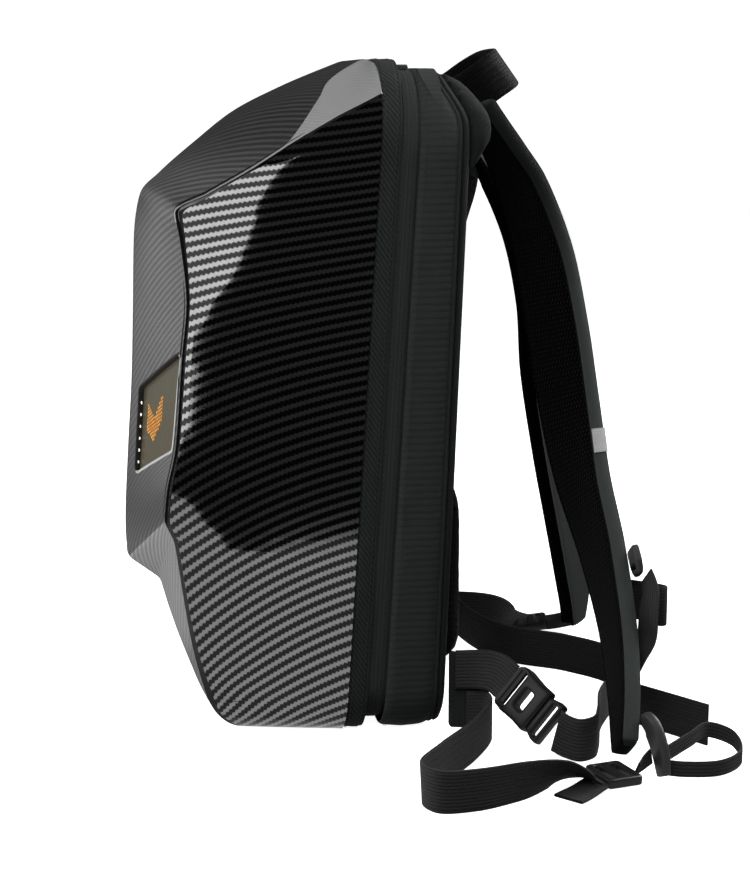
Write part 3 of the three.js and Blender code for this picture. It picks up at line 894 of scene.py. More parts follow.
class Finishes:
    """All the materials of the backpack, made once."""

    def __init__(self) -> None:
        """Builds every finish."""
        cool = (0.0122, 0.0142, 0.0138)
        self.gloss = CarbonTwill("carbon_gloss", 0.0012, 0.42, 1.0, (0.06, 0.08), coat=1.0).build()
        matt = {"stretch": 1.0, "spread": 0.2}
        broad, fine = {"tow": 1.9, "depth": 0.00004, **matt}, {"tow": 1.1, "depth": 0.00003, **matt}
        # The satin front gets a paler band over the brow: painted light
        self.satin = CarbonTwill("carbon_satin", 0.012, 0.034, 0.0, (0.42, 0.34), painted_light_from=376.0, **broad).build()
        # Paler copy of the satin twill for the undercut: painted light from the floor below
        self.pale = CarbonTwill("carbon_undercut_painted_floor_light", 0.056, 0.092, 0.0, (0.42, 0.36), **broad).build()
        # Light grey copy of the twill for the crease strip and the rear bevel facet: painted highlight
        self.facet = CarbonTwill("carbon_facet_painted_highlight", 0.170, 0.192, 0.0, (0.40, 0.36), **fine).build()
        # Pale finish for the right and lower lips of the window frames: painted highlight
        self.bevel = SmoothShell("frame_painted_highlight", 0.20, 0.38).build()
        # Near-black finish for the groove along the crease and the unlit frame lips: painted shade
        self.groove = SmoothShell("shell_groove_painted_shade", 0.004, 0.6).build()
        self.screen = DotPanel("screen_panel").build()
        self.lamp = Lamp("lamp_orange", (0.48, 0.14, 0.02, 1.0), (0.44, 0.24, 0.03, 1.0), 0.42).build()
        self.white_lamp = Lamp("lamp_white", (0.7, 0.7, 0.68, 1.0), (0.85, 0.85, 0.83, 1.0), 0.35).build()
        self.tape = TwillTape("edge_tape", (0.0112, 0.0124, 0.0124), rib=3.4).build()
        self.cloth = WovenCloth("body_cloth", cool).build()
        ribbed = (0.0150, 0.0168, 0.0164)
        self.corded = WovenCloth("corded_cloth", ribbed, cords=2.6).build()
        self.barred = WovenCloth("barred_cloth", ribbed, bars=4.8).build()
        self.handle = Webbing("handle_webbing", 0.0012).build()
        self.cloth_back = WovenCloth("back_cloth", (0.007, 0.0082, 0.008), coords=Coords.BACK).build()
        lit = (0.025, 0.0285, 0.0275)
        # The strap walls darken towards the top: painted shade
        self.wall = WovenCloth("strap_wall_painted_shade", lit, thread=1.1, rough=0.75, painted_shade_from=285.0).build()
        self.mesh = AirMesh("air_mesh", (0.0004, 0.0004, 0.0004), pitch=3.2).build()
        self.mesh_back = AirMesh("air_mesh_back", (0.0075, 0.008, 0.008), 4.2, Coords.BACK).build()
        self.webbing = Webbing("webbing", 0.0125).build()
        self.plastic = MouldedPlastic("buckle_plastic", 0.0085, 0.36).build()
        self.grey_plastic = MouldedPlastic("grey_plastic", 0.026, 0.42).build()
        self.metal = MouldedPlastic("zip_metal", 0.20, 0.28, 0.9).build()
        self.teeth = MouldedPlastic("zip_teeth_nylon", 0.012, 0.4).build()
        self.thread = MouldedPlastic("thread", 0.013, 0.75).build()
        self.reflective = GlassBead("reflective_film", 0.34).build()


class Mark(Enum):
    """The small solid that a repeat sets down."""

    STITCH = "stitch"
    TOOTH = "tooth"
    DOT = "dot"


class Repeat:
    """A Geometry Nodes tree that sets one small solid along lines or on points."""

    def __init__(self, mark: Mark) -> None:
        """Builds the tree for one kind of mark.

        Args:
            mark: the small solid; a dot sits on each point, the others run along lines.
        """
        self.mark = mark
        self.tree = bpy.data.node_groups.new("repeat_" + mark.value, "GeometryNodeTree")
        face = self.tree.interface
        face.new_socket("Line", in_out="INPUT", socket_type="NodeSocketGeometry")
        self.pitch = face.new_socket("Pitch", in_out="INPUT", socket_type="NodeSocketFloat")
        self.size = face.new_socket("Size", in_out="INPUT", socket_type="NodeSocketVector")
        self.finish = face.new_socket("Finish", in_out="INPUT", socket_type="NodeSocketMaterial")
        face.new_socket("Geometry", in_out="OUTPUT", socket_type="NodeSocketGeometry")
        nodes, links = self.tree.nodes, self.tree.links
        given, result = nodes.new("NodeGroupInput"), nodes.new("NodeGroupOutput")
        spread = nodes.new("GeometryNodeInstanceOnPoints")
        if mark is Mark.TOOTH:
            solid = nodes.new("GeometryNodeMeshCube")
        else:
            solid = nodes.new("GeometryNodeMeshUVSphere")
            solid.inputs["Segments"].default_value = 6
            solid.inputs["Rings"].default_value = 4
            solid.inputs["Radius"].default_value = 0.5
        links.new(solid.outputs["Mesh"], spread.inputs["Instance"])
        links.new(given.outputs["Size"], spread.inputs["Scale"])
        if mark is Mark.DOT:
            links.new(given.outputs["Line"], spread.inputs["Points"])
        else:
            curve, step = nodes.new("GeometryNodeMeshToCurve"), nodes.new("GeometryNodeResampleCurve")
            step.mode = "LENGTH"
            turn = nodes.new("FunctionNodeAlignRotationToVector")
            tangent = nodes.new("GeometryNodeInputTangent")
            turn.axis = "X"
            links.new(given.outputs["Line"], curve.inputs["Mesh"])
            links.new(curve.outputs["Curve"], step.inputs["Curve"])
            links.new(given.outputs["Pitch"], step.inputs["Length"])
            links.new(step.outputs["Curve"], spread.inputs["Points"])
            links.new(tangent.outputs[0], turn.inputs["Vector"])
            links.new(turn.outputs[0], spread.inputs["Rotation"])
        real, paint = nodes.new("GeometryNodeRealizeInstances"), nodes.new("GeometryNodeSetMaterial")
        links.new(spread.outputs[0], real.inputs[0])
        links.new(real.outputs[0], paint.inputs["Geometry"])
        links.new(given.outputs["Finish"], paint.inputs["Material"])
        links.new(paint.outputs[0], result.inputs[0])

    def run(
        self,
        name: str,
        lines: Sequence[Array],
        pitch: float,
        size: tuple[float, float, float],
        finish: bpy.types.Material,
    ) -> bpy.types.Object:
        """Sets the marks down and returns them as one plain piece.

        Args:
            name: name of the piece.
            lines: lines of points in table millimetres, or points for dots.
            pitch: step along the lines, in millimetres.
            size: length, width and thickness of a mark, in millimetres.
            finish: its material.

        Returns:
            The piece.
        """
        pts, edges, start = [], [], 0
        for line in lines:
            pts.append(np.asarray(line, float))
            if self.mark is not Mark.DOT:
                edges.extend((start + k, start + k + 1) for k in range(len(line) - 1))
            start += len(line)
        mesh = bpy.data.meshes.new(name)
        mesh.from_pydata(place(np.concatenate(pts)).tolist(), edges, [])
        obj = link(name, mesh)
        modifier = obj.modifiers.new("repeat", "NODES")
        modifier.node_group = self.tree
        modifier[self.pitch.identifier] = pitch * MM
        modifier[self.size.identifier] = tuple(s * MM for s in size)
        modifier[self.finish.identifier] = finish
        return baked(obj, name, [finish], 60.0)


class Path:
    """A smooth line through stations that each give a place and the way the width lies."""

    def __init__(self, rows: Sequence[Sequence[float]], steps: int = 12) -> None:
        """Reads the stations and samples the line.

        Args:
            rows: place and width direction of each station.
            steps: samples from one station to the next.
        """
        table = np.asarray(rows, float)
        spots, hints = table[:, :3], table[:, 3:]
        total = (len(rows) - 1) * steps
        q = np.linspace(0, len(rows) - 1, total + 1)
        self.point = self.curve(spots, q)
        ahead = self.curve(spots, np.minimum(q + 1e-3, len(rows) - 1))
        behind = self.curve(spots, np.maximum(q - 1e-3, 0))
        self.along = unit(ahead - behind)
        hint = blur(columns(q, np.arange(len(rows)), hints), steps * 0.4)
        self.across = unit(hint - (hint * self.along).sum(1, keepdims=True) * self.along)
        self.normal = np.cross(self.along, self.across)
        self.length = lengths(self.point)
        self.t = q / (len(rows) - 1)

    @staticmethod
    def curve(spots: Array, q: Array) -> Array:
        """A centripetal curve through spots, read at station numbers."""
        pts = np.vstack([2 * spots[0] - spots[1], spots, 2 * spots[-1] - spots[-2]])
        k = np.minimum(q.astype(int), len(spots) - 2)
        s = (q - k)[:, None]
        p0, p1, p2, p3 = (pts[k + i] for i in range(4))
        gaps = (np.linalg.norm(b - a, axis=1, keepdims=True) for a, b in ((p0, p1), (p1, p2), (p2, p3)))
        d0, d1, d2 = (np.maximum(gap**0.5, 1e-4) for gap in gaps)
        m1 = d1 * ((p1 - p0) / d0 - (p2 - p0) / (d0 + d1) + (p2 - p1) / d1)
        m2 = d1 * ((p2 - p1) / d1 - (p3 - p1) / (d1 + d2) + (p3 - p2) / d2)
        return (
            (2 * s**3 - 3 * s**2 + 1) * p1
            + (s**3 - 2 * s**2 + s) * m1
            + (3 * s**2 - 2 * s**3) * p2
            + (s**3 - s**2) * m2
        )

    def offset(self, across: Array | float, lift: Array | float, scale: Array | float = 1.0) -> Array:
        """A line beside the path."""
        u = np.broadcast_to(np.asarray(across, float) * scale, self.t.shape)[:, None]
        v = np.broadcast_to(np.asarray(lift, float), self.t.shape)[:, None]
        return self.point + u * self.across + v * self.normal

    def sweep(
        self, section: Array, index: int | Array = 0, scale: Array | None = None, ends: float = 0.0
    ) -> Shape:
        """Carries a closed section along the path.

        Args:
            section: points of the section as across and lift.
            index: the finish, or one for each side of the section.
            scale: how wide the section is at each sample.
            ends: how far the ends are drawn in to a soft close, in millimetres.

        Returns:
            The closed shape.
        """
        wide = np.ones(len(self.t)) if scale is None else np.asarray(scale)
        beside = (section[None, :, :1] * wide[:, None, None]) * self.across[:, None]
        pts = self.point[:, None] + beside + section[None, :, 1:] * self.normal[:, None]
        length = self.length
        if ends > 0:
            turns = np.linspace(0, math.pi / 2, 5)[1:]
            first, last = [], []
            for a in turns:
                shrink, out = 1 - (1 - math.cos(a)) * 0.55, ends * math.sin(a)
                first.insert(0, self.point[0] + (pts[0] - self.point[0]) * shrink - self.along[0] * out)
                last.append(self.point[-1] + (pts[-1] - self.point[-1]) * shrink + self.along[-1] * out)
            pts = np.concatenate([first, pts, last])
            length = np.concatenate([-ends * np.sin(turns[::-1]), length, length[-1] + ends * np.sin(turns)])
        shape = Shape()
        shape.tube(pts, laid_out(length, lengths(joined(section))), index)
        return shape


def web_section(width: float, thick: float) -> Array:
    """A flat webbing section with rounded selvedges.

    Args:
        width: across the webbing.
        thick: its thickness.

    Returns:
        The section's points.
    """
    h, w = thick / 2, width / 2
    face = np.linspace(-w + h, w - h, 9)
    arc = np.linspace(-math.pi / 2, math.pi / 2, 6)[1:-1]
    lower = np.stack([face, np.full(9, -h)], 1)
    right = np.stack([w - h + h * np.cos(arc), h * np.sin(arc)], 1)
    return np.concatenate([lower, right, -lower, -right])


def cut_plate(
    outline: Array, holes: Sequence[Array], thick: float, edge: float
) -> tuple[Array, list[list[int]]]:
    """A flat plate with holes and rounded edges, in its own flat frame.

    Args:
        outline: its outer outline, in millimetres.
        holes: outlines of its holes.
        thick: its thickness.
        edge: radius of its edges.

    Returns:
        Its points and faces.
    """
    curve = bpy.data.curves.new("plate", "CURVE")
    curve.dimensions = "2D"
    curve.fill_mode = "BOTH"
    for loop in [outline, *holes]:
        spline = curve.splines.new("POLY")
        spline.points.add(len(loop) - 1)
        flat, full = np.zeros((len(loop), 1)), np.ones((len(loop), 1))
        spline.points.foreach_set("co", np.concatenate([loop, flat, full], 1).ravel())
        spline.use_cyclic_u = True
    curve.extrude = thick / 2 - edge
    curve.bevel_depth = edge
    curve.bevel_resolution = 3
    curve.offset = -edge
    obj = link("plate", curve)
    bpy.context.view_layer.update()
    graph = bpy.context.evaluated_depsgraph_get()
    mesh = bpy.data.meshes.new_from_object(obj.evaluated_get(graph))
    pts = np.array([v.co for v in mesh.vertices])
    faces = [list(p.vertices) for p in mesh.polygons]
    bpy.data.objects.remove(obj)
    bpy.data.curves.remove(curve)
    bpy.data.meshes.remove(mesh)
    return pts, faces


@dataclass(frozen=True)
class Seat:
    """Where a hardware plate sits: its middle, the way it runs and the way its width lies."""

    middle: Spot
    along: Spot
    across: Spot

    def set(self, pts: Array) -> Array:
        """Points of the flat frame set in place; x runs along, y across and z out of the face."""
        a = unit(np.array(self.along, float))
        c = np.array(self.across, float)
        c = unit(c - (c @ a) * a)
        return np.array(self.middle) + pts[:, :1] * a + pts[:, 1:2] * c + pts[:, 2:3] * np.cross(a, c)


def box_outline(length: float, width: float, radius: float, at: tuple[float, float] = (0.0, 0.0)) -> Array:
    """A rounded rectangle.

    Args:
        length: along x.
        width: along y.
        radius: of its corners.
        at: its middle.

    Returns:
        Its outline.
    """
    l, w = length / 2, width / 2
    return mirrored([(-l, -w), (l, -w)], radius) + np.array(at)


class ShellFinish(IntEnum):
    """The shell's finishes by number."""

    GLOSS = 0
    SATIN = 1
    PAINTED_HIGHLIGHT = 2
    PAINTED_SHADE = 3
    PAINTED_FLOOR_LIGHT = 4


@dataclass
class Shell:
    """The moulded front shell with its two screens."""

    finishes: Finishes
    wall: float = 2.8
    groove_wide: float = 3.2
    groove_deep: float = 2.4
    # Row where the groove starts, its run-in, the row where it ends and its run-out
    groove_rows: tuple[float, float, float, float] = (5.7, 0.5, 14.2, 1.4)
    # The same for the rows where the side panel is smoothed
    soft_rows: tuple[float, float, float, float] = (2.6, 0.8, 16.8, 1.0)
    # Row where the front starts to bend to the rim, and over how many rows
    top_rows: tuple[float, float] = (16.4, 1.6)
    # Rows below this get the paler undercut copy of the twill: painted light from the floor
    painted_floor_light_to: float = 5.95
    # From this row the strip along the crease and the rear bevel are light grey: painted highlight
    painted_highlight_from: float = 11.6
    bevel_from: float = 14.7
    side_smooth: float = 42.0
    twill_lean: float = 28.0
    screen_deep: float = 3.5
    screen_thick: float = 2.6
    window: tuple[tuple[float, float], ...] = ((22, 170), (97.5, 200), (106.5, 270), (22, 233))
    # Powers of depth and height with their weight, for the two weave coordinates of the side
    climb: tuple[tuple[int, int, float], ...] = (
        (0, 1, 103.03), (0, 2, 5.1), (0, 3, 0.56), (0, 4, -0.24), (1, 0, -30.77), (1, 1, 8.8),
        (1, 2, -1.15), (1, 3, 0.24), (2, 0, 13.52), (2, 1, -8.67), (2, 2, -0.3), (3, 0, -0.57),
        (3, 1, -1.26),
    )
    along: tuple[tuple[int, int, float], ...] = (
        (0, 1, 40.67), (0, 2, -7.6), (0, 3, -0.02), (1, 0, 95.59), (1, 1, 2.77), (1, 2, -1.03),
        (2, 0, 6.01), (2, 1, -2.56), (3, 0, -0.35),
    )
    # Ridge y and z, crease x, y and z, rim z, bulge of the front, bulge of the side
    rows: tuple[tuple[float, ...], ...] = (
        (-3, 0, 66, -3, 0, 0, 0, 0),
        (-42, 0, 98, -41, 0, 1, 0, 0),
        (-80, 0, 112, -78, 0, 4, 0, 2),
        (-97, 14, 113, -94, 15, 16, 2, 5),
        (-113, 50, 102, -105.2, 57.2, 58, 2, 8),
        (-123, 84, 92, -116.4, 132.6, 128, 2, 10),
        (-147, 102, 94, -123.4, 147.8, 144, 1, 10),
        (-148, 126, 98, -121.4, 169.6, 166, 1, 10),
        (-145, 183, 104, -115.2, 201.7, 202, 1, 10),
        (-141, 240, 109, -110, 265, 262, 1, 9),
        (-139, 290, 107, -106, 306, 305, 2, 9),
        (-137, 345, 97, -109, 345, 348, 3, 8),
        (-132, 374, 97, -112.2, 365.2, 372, 4, 7),
        (-118, 389, 110, -90.6, 378.4, 392, 5, 6),
        (-92, 411, 122, -62, 395.4, 410, 7, 5),
        (-62, 433, 131, -31.3, 415.3, 424, 9, 3),
        (-26, 449, 138, -1.3, 433, 434, 10, 1),
        (4, 460, 143, 12.1, 440, 439, 11, 0),
        (25.2, 470, 143, 23.8, 446, 442, 11, 0),
    )
    # Rows where the face has an edge, and how far each edge is rounded before and after it
    breaks: tuple[int, ...] = (0, 2, 3, 5, 6, 18)
    fillets: tuple[tuple[int, float, float], ...] = (
        (2, 0.25, 0.5), (3, 0.5, 0.3), (5, 0.08, 0.15), (6, 0.22, 0.2),
    )
    tree: BVHTree | None = field(default=None, init=False)

    def at(self, us: Array) -> Array:
        """The row table read between its rows, soft within a facet and broken between facets."""
        table = np.asarray(self.rows, float)
        ridge, crease = np.diff(table[:, :2], axis=0), np.diff(table[:, 2:5], axis=0)
        step = np.linalg.norm(ridge, axis=1) + np.linalg.norm(crease, axis=1)
        out = np.zeros((len(us), table.shape[1]))
        for a, b in zip(self.breaks[:-1], self.breaks[1:]):
            pick = (us >= a) & ((us < b) | (b == self.breaks[-1]))
            run = run_up(step[a:b])
            here = np.interp(us[pick], np.arange(a, b + 1), run)
            out[pick] = monotone(run, table[a : b + 1], here)
        return out

    def read(self, us: Array) -> Array:
        """The row table with its broken edges rounded."""
        out = self.at(us)
        for k, before, after in self.fillets:
            pick = (us > k - before) & (us < k + after)
            s = ((us[pick] - (k - before)) / (before + after))[:, None]
            a, m, b = self.at(np.array([k - before, k, k + after]))
            out[pick] = (1 - s) ** 2 * a + 2 * s * (1 - s) * m + s * s * b
        return out

    @staticmethod
    def rim_x(z: Array) -> Array:
        """Half width of the rim at a height."""
        low = np.sqrt(np.maximum(BASE_RADIUS**2 - np.maximum(BASE_RADIUS - z, 0) ** 2, 0)) - BASE_RADIUS
        over = np.maximum(z - HEIGHT + TOP_RADIUS, 0)
        high = np.sqrt(np.maximum(TOP_RADIUS**2 - over**2, 0)) - TOP_RADIUS
        return HALF_WIDTH + np.where(z < BASE_RADIUS, low, high)

    @staticmethod
    def top_rim(t: Array, z: float) -> Array:
        """Points along the rim from the middle of its top to a height on its corner."""
        flat = HALF_WIDTH - TOP_RADIUS
        end = math.asin((z - HEIGHT + TOP_RADIUS) / TOP_RADIUS)
        s = t * (flat + TOP_RADIUS * (math.pi / 2 - end))
        a = math.pi / 2 - np.maximum(s - flat, 0) / TOP_RADIUS
        x = np.where(s <= flat, s, flat + TOP_RADIUS * np.cos(a))
        height = np.where(s <= flat, HEIGHT, HEIGHT - TOP_RADIUS + TOP_RADIUS * np.sin(a))
        return np.stack([x, rim_y(height), height], -1)

    def sheets(self) -> dict[str, Array]:
        """The right half of the face as grids of points and weave coordinates.

        Returns:
            Points and weave coordinates of the front, the bevel, the groove and the side, and the rows read.
        """
        per = (8, 8, 8, 12, 18, 12, 10, 14, 16, 13, 15, 11, 9, 11, 11, 12, 10, 8)
        us = np.concatenate([np.linspace(k, k + 1, n, endpoint=False) for k, n in enumerate(per)] + [[18.0]])
        extra = [np.linspace(k - a, k + b, 9) for k, a, b in self.fillets]
        us = np.unique(np.round(np.concatenate([us, *extra]), 4))
        v = self.read(us)
        zero = np.zeros(len(us))
        ridge = np.stack([zero, v[:, 0], v[:, 1]], 1)
        crease = v[:, 2:5]
        rim = np.stack([self.rim_x(v[:, 5]), rim_y(v[:, 5]), v[:, 5]], 1)
        run = unit(np.gradient(ridge, axis=0))
        out = np.stack([zero, -run[:, 2], run[:, 1]], 1)
        arc = lengths(ridge)
        crease_top, last = self.rows[-1][4], len(self.rows) - 1
        over = smooth((us - self.top_rows[0]) / self.top_rows[1])

        def facet(t: Array) -> Array:
            """Points of the front at shares of the way to the crease."""
            t = np.broadcast_to(t, (len(us), np.asarray(t).shape[-1]))
            p = ridge[:, None] + (crease - ridge)[:, None] * t[..., None]
            p = p + out[:, None] * (v[:, 6:7] * 4 * t * (1 - t))[..., None]
            return p + (self.top_rim(t, crease_top) - p) * over[:, None, None]

        edge = facet(np.ones((len(us), 1)))[:, 0]
        start = 0.985 - 0.62 * smooth((us - self.bevel_from) / (last - self.bevel_from)) ** 0.8
        flatten = smooth((us - self.bevel_from) / 0.8) * (1 - 0.75 * smooth((us - 16.8) / 1.2))
        t1 = start[:, None] * np.linspace(0, 1, 27)[None]
        s2 = np.linspace(0, 1, 9)[None]
        t2 = start[:, None] + (1 - start[:, None]) * s2
        front, bevel = facet(t1), facet(t2)
        chord = front[:, -1:] + (edge - front[:, -1])[:, None] * s2[..., None]
        bevel = bevel + (chord - bevel) * flatten[:, None, None]
        lean, rise = (turn(math.radians(self.twill_lean)) for turn in (math.sin, math.cos))

        def laid(p: Array) -> Array:
            """Weave coordinates that climb outwards over the front and the dome."""
            up, x = arc[:, None], p[..., 0]
            return np.stack([up * lean + x * rise, up * rise - x * lean], -1)

        far, count = lengths(edge), 400
        evenly = np.linspace(0, far[-1], count)
        spread = blur(columns(evenly, far, edge), self.side_smooth * count / far[-1])
        soft = columns(far, evenly, spread)
        start_row, run_in, end_row, run_out = self.soft_rows
        hold = smooth((us - start_row) / run_in) * (1 - smooth((us - end_row) / run_out))
        base = edge + (soft - edge) * hold[:, None]
        away = np.stack([rim[:, 1] - base[:, 1], base[:, 0] - rim[:, 0], zero], 1)
        bulge = blur(v[:, 7:8], 5.0)[:, 0] * smooth(us / 3.0)
        away = unit(away) * bulge[:, None]

        def side(t: Array) -> Array:
            """Points of the side panel at shares of the way from the crease to the rim."""
            k = t[..., None]
            bowed = base[:, None] + (rim - base)[:, None] * k + away[:, None] * (4 * k * (1 - k))
            return bowed + (edge - base)[:, None] * (1 - k) ** 9

        reach = np.linalg.norm(rim - edge, axis=1)
        wide = np.minimum(self.groove_wide, reach * 0.2)
        share = (wide / np.maximum(reach, 1e-6))[:, None]
        lip = side(share * np.array([[0.0, 1.0]]))
        tau = unit(lip[:, 1] - lip[:, 0])
        face = unit(np.cross(unit(np.gradient(edge, axis=0)), tau))
        face *= np.sign(face[:, :1] + 1e-9)
        start_row, run_in, end_row, run_out = self.groove_rows
        deep = self.groove_deep * smooth((us - start_row) / run_in) * (1 - smooth((us - end_row) / run_out))
        steps = np.array([(0, 0), (0.06, 0.45), (0.12, 1), (0.5, 1.08), (0.84, 1), (0.92, 0.3), (1, 0.05)])
        sunk = face[:, None] * (deep[:, None] * steps[None, :, 1])[..., None]
        groove = edge[:, None] + (lip[:, 1] - edge)[:, None] * steps[None, :, :1] - sunk
        t3 = share + (1 - share) * (np.linspace(0, 1, 33) ** 1.15)[None]
        panel = side(t3)
        panel[:, 0] = groove[:, -1]
        return {
            "front": front,
            "front_weave": laid(front),
            "bevel": bevel,
            "bevel_weave": laid(bevel),
            "groove": groove,
            "side": panel,
            "side_weave": self.side_weave(panel),
            "us": us,
        }

    def side_weave(self, p: Array) -> Array:
        """Weave coordinates of the side panel: level at the top, curling into arcs below."""
        y, z = (p[..., 1] + 15.5) / 100, (p[..., 2] - 220) / 100
        lay = [sum(k * y**m * z**n for m, n, k in terms) for terms in (self.along, self.climb)]
        return np.stack(lay, -1)

    def build(self) -> None:
        """Makes the shell, its window frames, its screens and their dots."""
        f, s = self.finishes, self.sheets()
        shape = Shape()
        us = s["us"][:-1, None]
        # The undercut rows get painted light from the floor
        front = np.where(us < self.painted_floor_light_to, ShellFinish.PAINTED_FLOOR_LIGHT, ShellFinish.SATIN)
        # The crease strip and the rear bevel get a painted highlight
        bevel = np.where(us > self.painted_highlight_from, ShellFinish.PAINTED_HIGHLIGHT, front)
        for side, _ in SIDES:
            turn = np.array([side, 1, 1])
            flip = side < 0
            shape.grid(s["front"] * turn, s["front_weave"], front, flip=flip)
            shape.grid(s["bevel"] * turn, s["bevel_weave"], bevel, flip=flip)
            # The groove is near black: painted shade in the recess
            shape.grid(s["groove"] * turn, None, ShellFinish.PAINTED_SHADE, flip=flip)
            shape.grid(s["side"] * turn, s["side_weave"], ShellFinish.GLOSS, flip=flip)
        finishes = [f.gloss, f.satin, f.facet, f.groove, f.pale]
        face = shape.make("shell_face", finishes)
        self.turn_out(face)
        with edited(face.data) as bm:
            self.tree = BVHTree.FromBMesh(bm)
            for side, _ in SIDES:
                self.cut(bm, side)
        thicken = face.modifiers.new("wall", "SOLIDIFY")
        thicken.thickness = self.wall * MM
        thicken.offset = -1.0
        thicken.use_rim = True
        dress(baked(face, "shell_moulding", finishes, 30.0), ["shell"])
        for side, name in SIDES:
            dress(self.bezel(side, "window_frame_" + name))
            dress(self.screen(side, "screen_panel_" + name), ["screen_" + name])
        for name, row, size, finish in (
            ("screen_lamps", self.chevron, (2.3, 0.8, 2.3), f.lamp),
            ("frame_lamps", self.marker_row, (1.1, 1.3, 2.4), f.white_lamp),
        ):
            dots = [row(side) for side, _ in SIDES]
            dress(Repeat(Mark.DOT).run(name, dots, 1.0, size, finish))

    @staticmethod
    def turn_out(obj: bpy.types.Object) -> None:
        """Turns an open face so that its front looks away from the back."""
        with edited(obj.data) as bm:
            if sum(f.normal.y * f.calc_area() for f in bm.faces) > 0:
                bmesh.ops.reverse_faces(bm, faces=bm.faces)

    def corners(self, side: float) -> Array:
        """The window's corners on one side."""
        return np.array([(side * x, z) for x, z in self.window])

    def cut(self, bm: bmesh.types.BMesh, side: float) -> None:
        """Cuts one window out of the open face."""
        pts = place([(x, 0, z) for x, z in self.corners(side)])[:, [0, 2]]
        middle = pts.mean(0)
        planes = []
        for i in range(4):
            a, b = pts[i], pts[(i + 1) % 4]
            normal = np.array([b[1] - a[1], a[0] - b[0]])
            if normal @ (a - middle) < 0:
                normal = -normal
            planes.append((Vector((a[0], 0, a[1])), Vector((normal[0], 0, normal[1])).normalized()))

        def near(f: bmesh.types.BMFace) -> bool:
            """Whether a face of the front lies about the window."""
            c = f.calc_center_median()
            return c.y < -0.05 and c.x * side > 0 and all((c - p).dot(n) < 0.008 for p, n in planes)

        for p, n in planes:
            found = [f for f in bm.faces if near(f)]
            verts, edges = {v for f in found for v in f.verts}, {e for f in found for e in f.edges}
            geom = [*verts, *edges, *found]
            bmesh.ops.bisect_plane(bm, geom=geom, plane_co=p, plane_no=n, dist=1e-7)
        around = [(f, f.calc_center_median()) for f in bm.faces if near(f)]
        gone = [f for f, c in around if all((c - p).dot(n) < 0 for p, n in planes)]
        bmesh.ops.delete(bm, geom=gone, context="FACES")

    def on_face(self, flat: Array) -> tuple[Array, Array]:
        """Points and normals of the uncut front, in table millimetres, at flat places."""
        spots, normals = [], []
        for x, z in flat:
            hit, normal, _, _ = self.tree.ray_cast(Vector((x * MM, -0.3, z * MM)), Vector((0, 1, 0)))
            spots.append((hit.x / MM, hit.y / MM - BASE_CENTRE, hit.z / MM))
            normals.append(normal if normal.y < 0 else -normal)
        return np.array(spots), np.array([tuple(n) for n in normals])

    def bezel(self, side: float, name: str) -> bpy.types.Object:
        """The frame that lines one window."""
        loop = even(rounded(self.corners(side), 5.0, 6), 150, True)
        spots, normals = self.on_face(loop)
        normals = unit(blur(normals, 3.0, True))
        way = unit(np.roll(spots, -1, 0) - np.roll(spots, 1, 0))
        outward = unit(np.cross(way, normals))
        outward *= np.sign((outward * (spots - spots.mean(0))).sum(1).mean())
        face = [(1.9, -0.7), (1.9, 0.05), (1.55, 0.42), (1.1, 0.55), (0.5, 0.5), (0.1, 0.2)]
        section = np.array([*face, (-0.15, -0.5), (-0.3, -3.3), (0.7, -3.3), (1.0, -0.9)])
        beside, over = section[None, :, :1], section[None, :, 1:]
        pts = spots[:, None] + outward[:, None] * beside + normals[:, None] * over
        shape = Shape()
        # The frame's right and lower lips get the pale finish, a painted highlight; its other lips and its
        # inner wall get the near-black finish, painted shade
        lower = (outward[:, 0] * side > 0.7) | (outward[:, 2] < -0.7)
        lit = lower[:, None] & (np.arange(len(section)) < len(face))[None]
        shape.grid(pts, None, np.where(lit, 0, 1), (True, True))
        return shape.make(name, [self.finishes.bevel, self.finishes.groove], 30.0)

    def on_screen(self, side: float, p: Array, q: Array) -> tuple[Array, Array]:
        """Places and normals of the screen's front at shares of the window's width and height."""
        c = self.corners(side)
        grow = (c - c.mean(0)) * 0.03
        a, b, d, e = c + grow
        flat = a + (b - a) * p[:, None] + (e - a) * q[:, None] + (a - b + d - e) * (p * q)[:, None]
        spots, normals = self.on_face(flat)
        return spots - normals * self.screen_deep, normals

    def screen(self, side: float, name: str) -> bpy.types.Object:
        """One screen panel set behind its window."""
        n = 13
        share = np.linspace(0, 1, n)
        q, p = (g.ravel() for g in np.meshgrid(share, share, indexing="ij"))
        spots, normals = self.on_screen(side, p, q)
        front = spots.reshape(n, n, 3)
        weave = np.stack([p * 80, q * 66], 1).reshape(n, n, 2)
        back = front - normals.reshape(n, n, 3) * self.screen_thick
        shape = Shape()
        shape.leaf(front, back, weave, side < 0)
        return shape.make(name, [self.finishes.screen])

    def chevron(self, side: float) -> Array:
        """Lit dots of a plain chevron."""
        wide, high, slope, thick = 0.19, 0.46, 0.42, 0.62
        found = []
        for i in range(30):
            for j in range(26):
                p, q = (i + 0.5) / 30.8, (j + 0.5) / 25.4
                x, y = abs((p - 0.36) / wide), (q - 0.26) / high
                if x <= 1 and x * slope <= y <= x * slope + thick:
                    found.append((p, q))
        p, q = np.array(found).T
        spots, normals = self.on_screen(side, p, q)
        return spots + normals * 0.1

    def marker_row(self, side: float) -> Array:
        """A short row of pale marker lamps on the window's inner wall."""
        q = np.linspace(0.13, 0.83, 6)
        c = self.corners(side)
        flat = c[0] + (c[3] - c[0]) * q[:, None] + np.array([side * 0.55, 0.0])
        spots, normals = self.on_face(flat)
        return spots - normals * 2.0


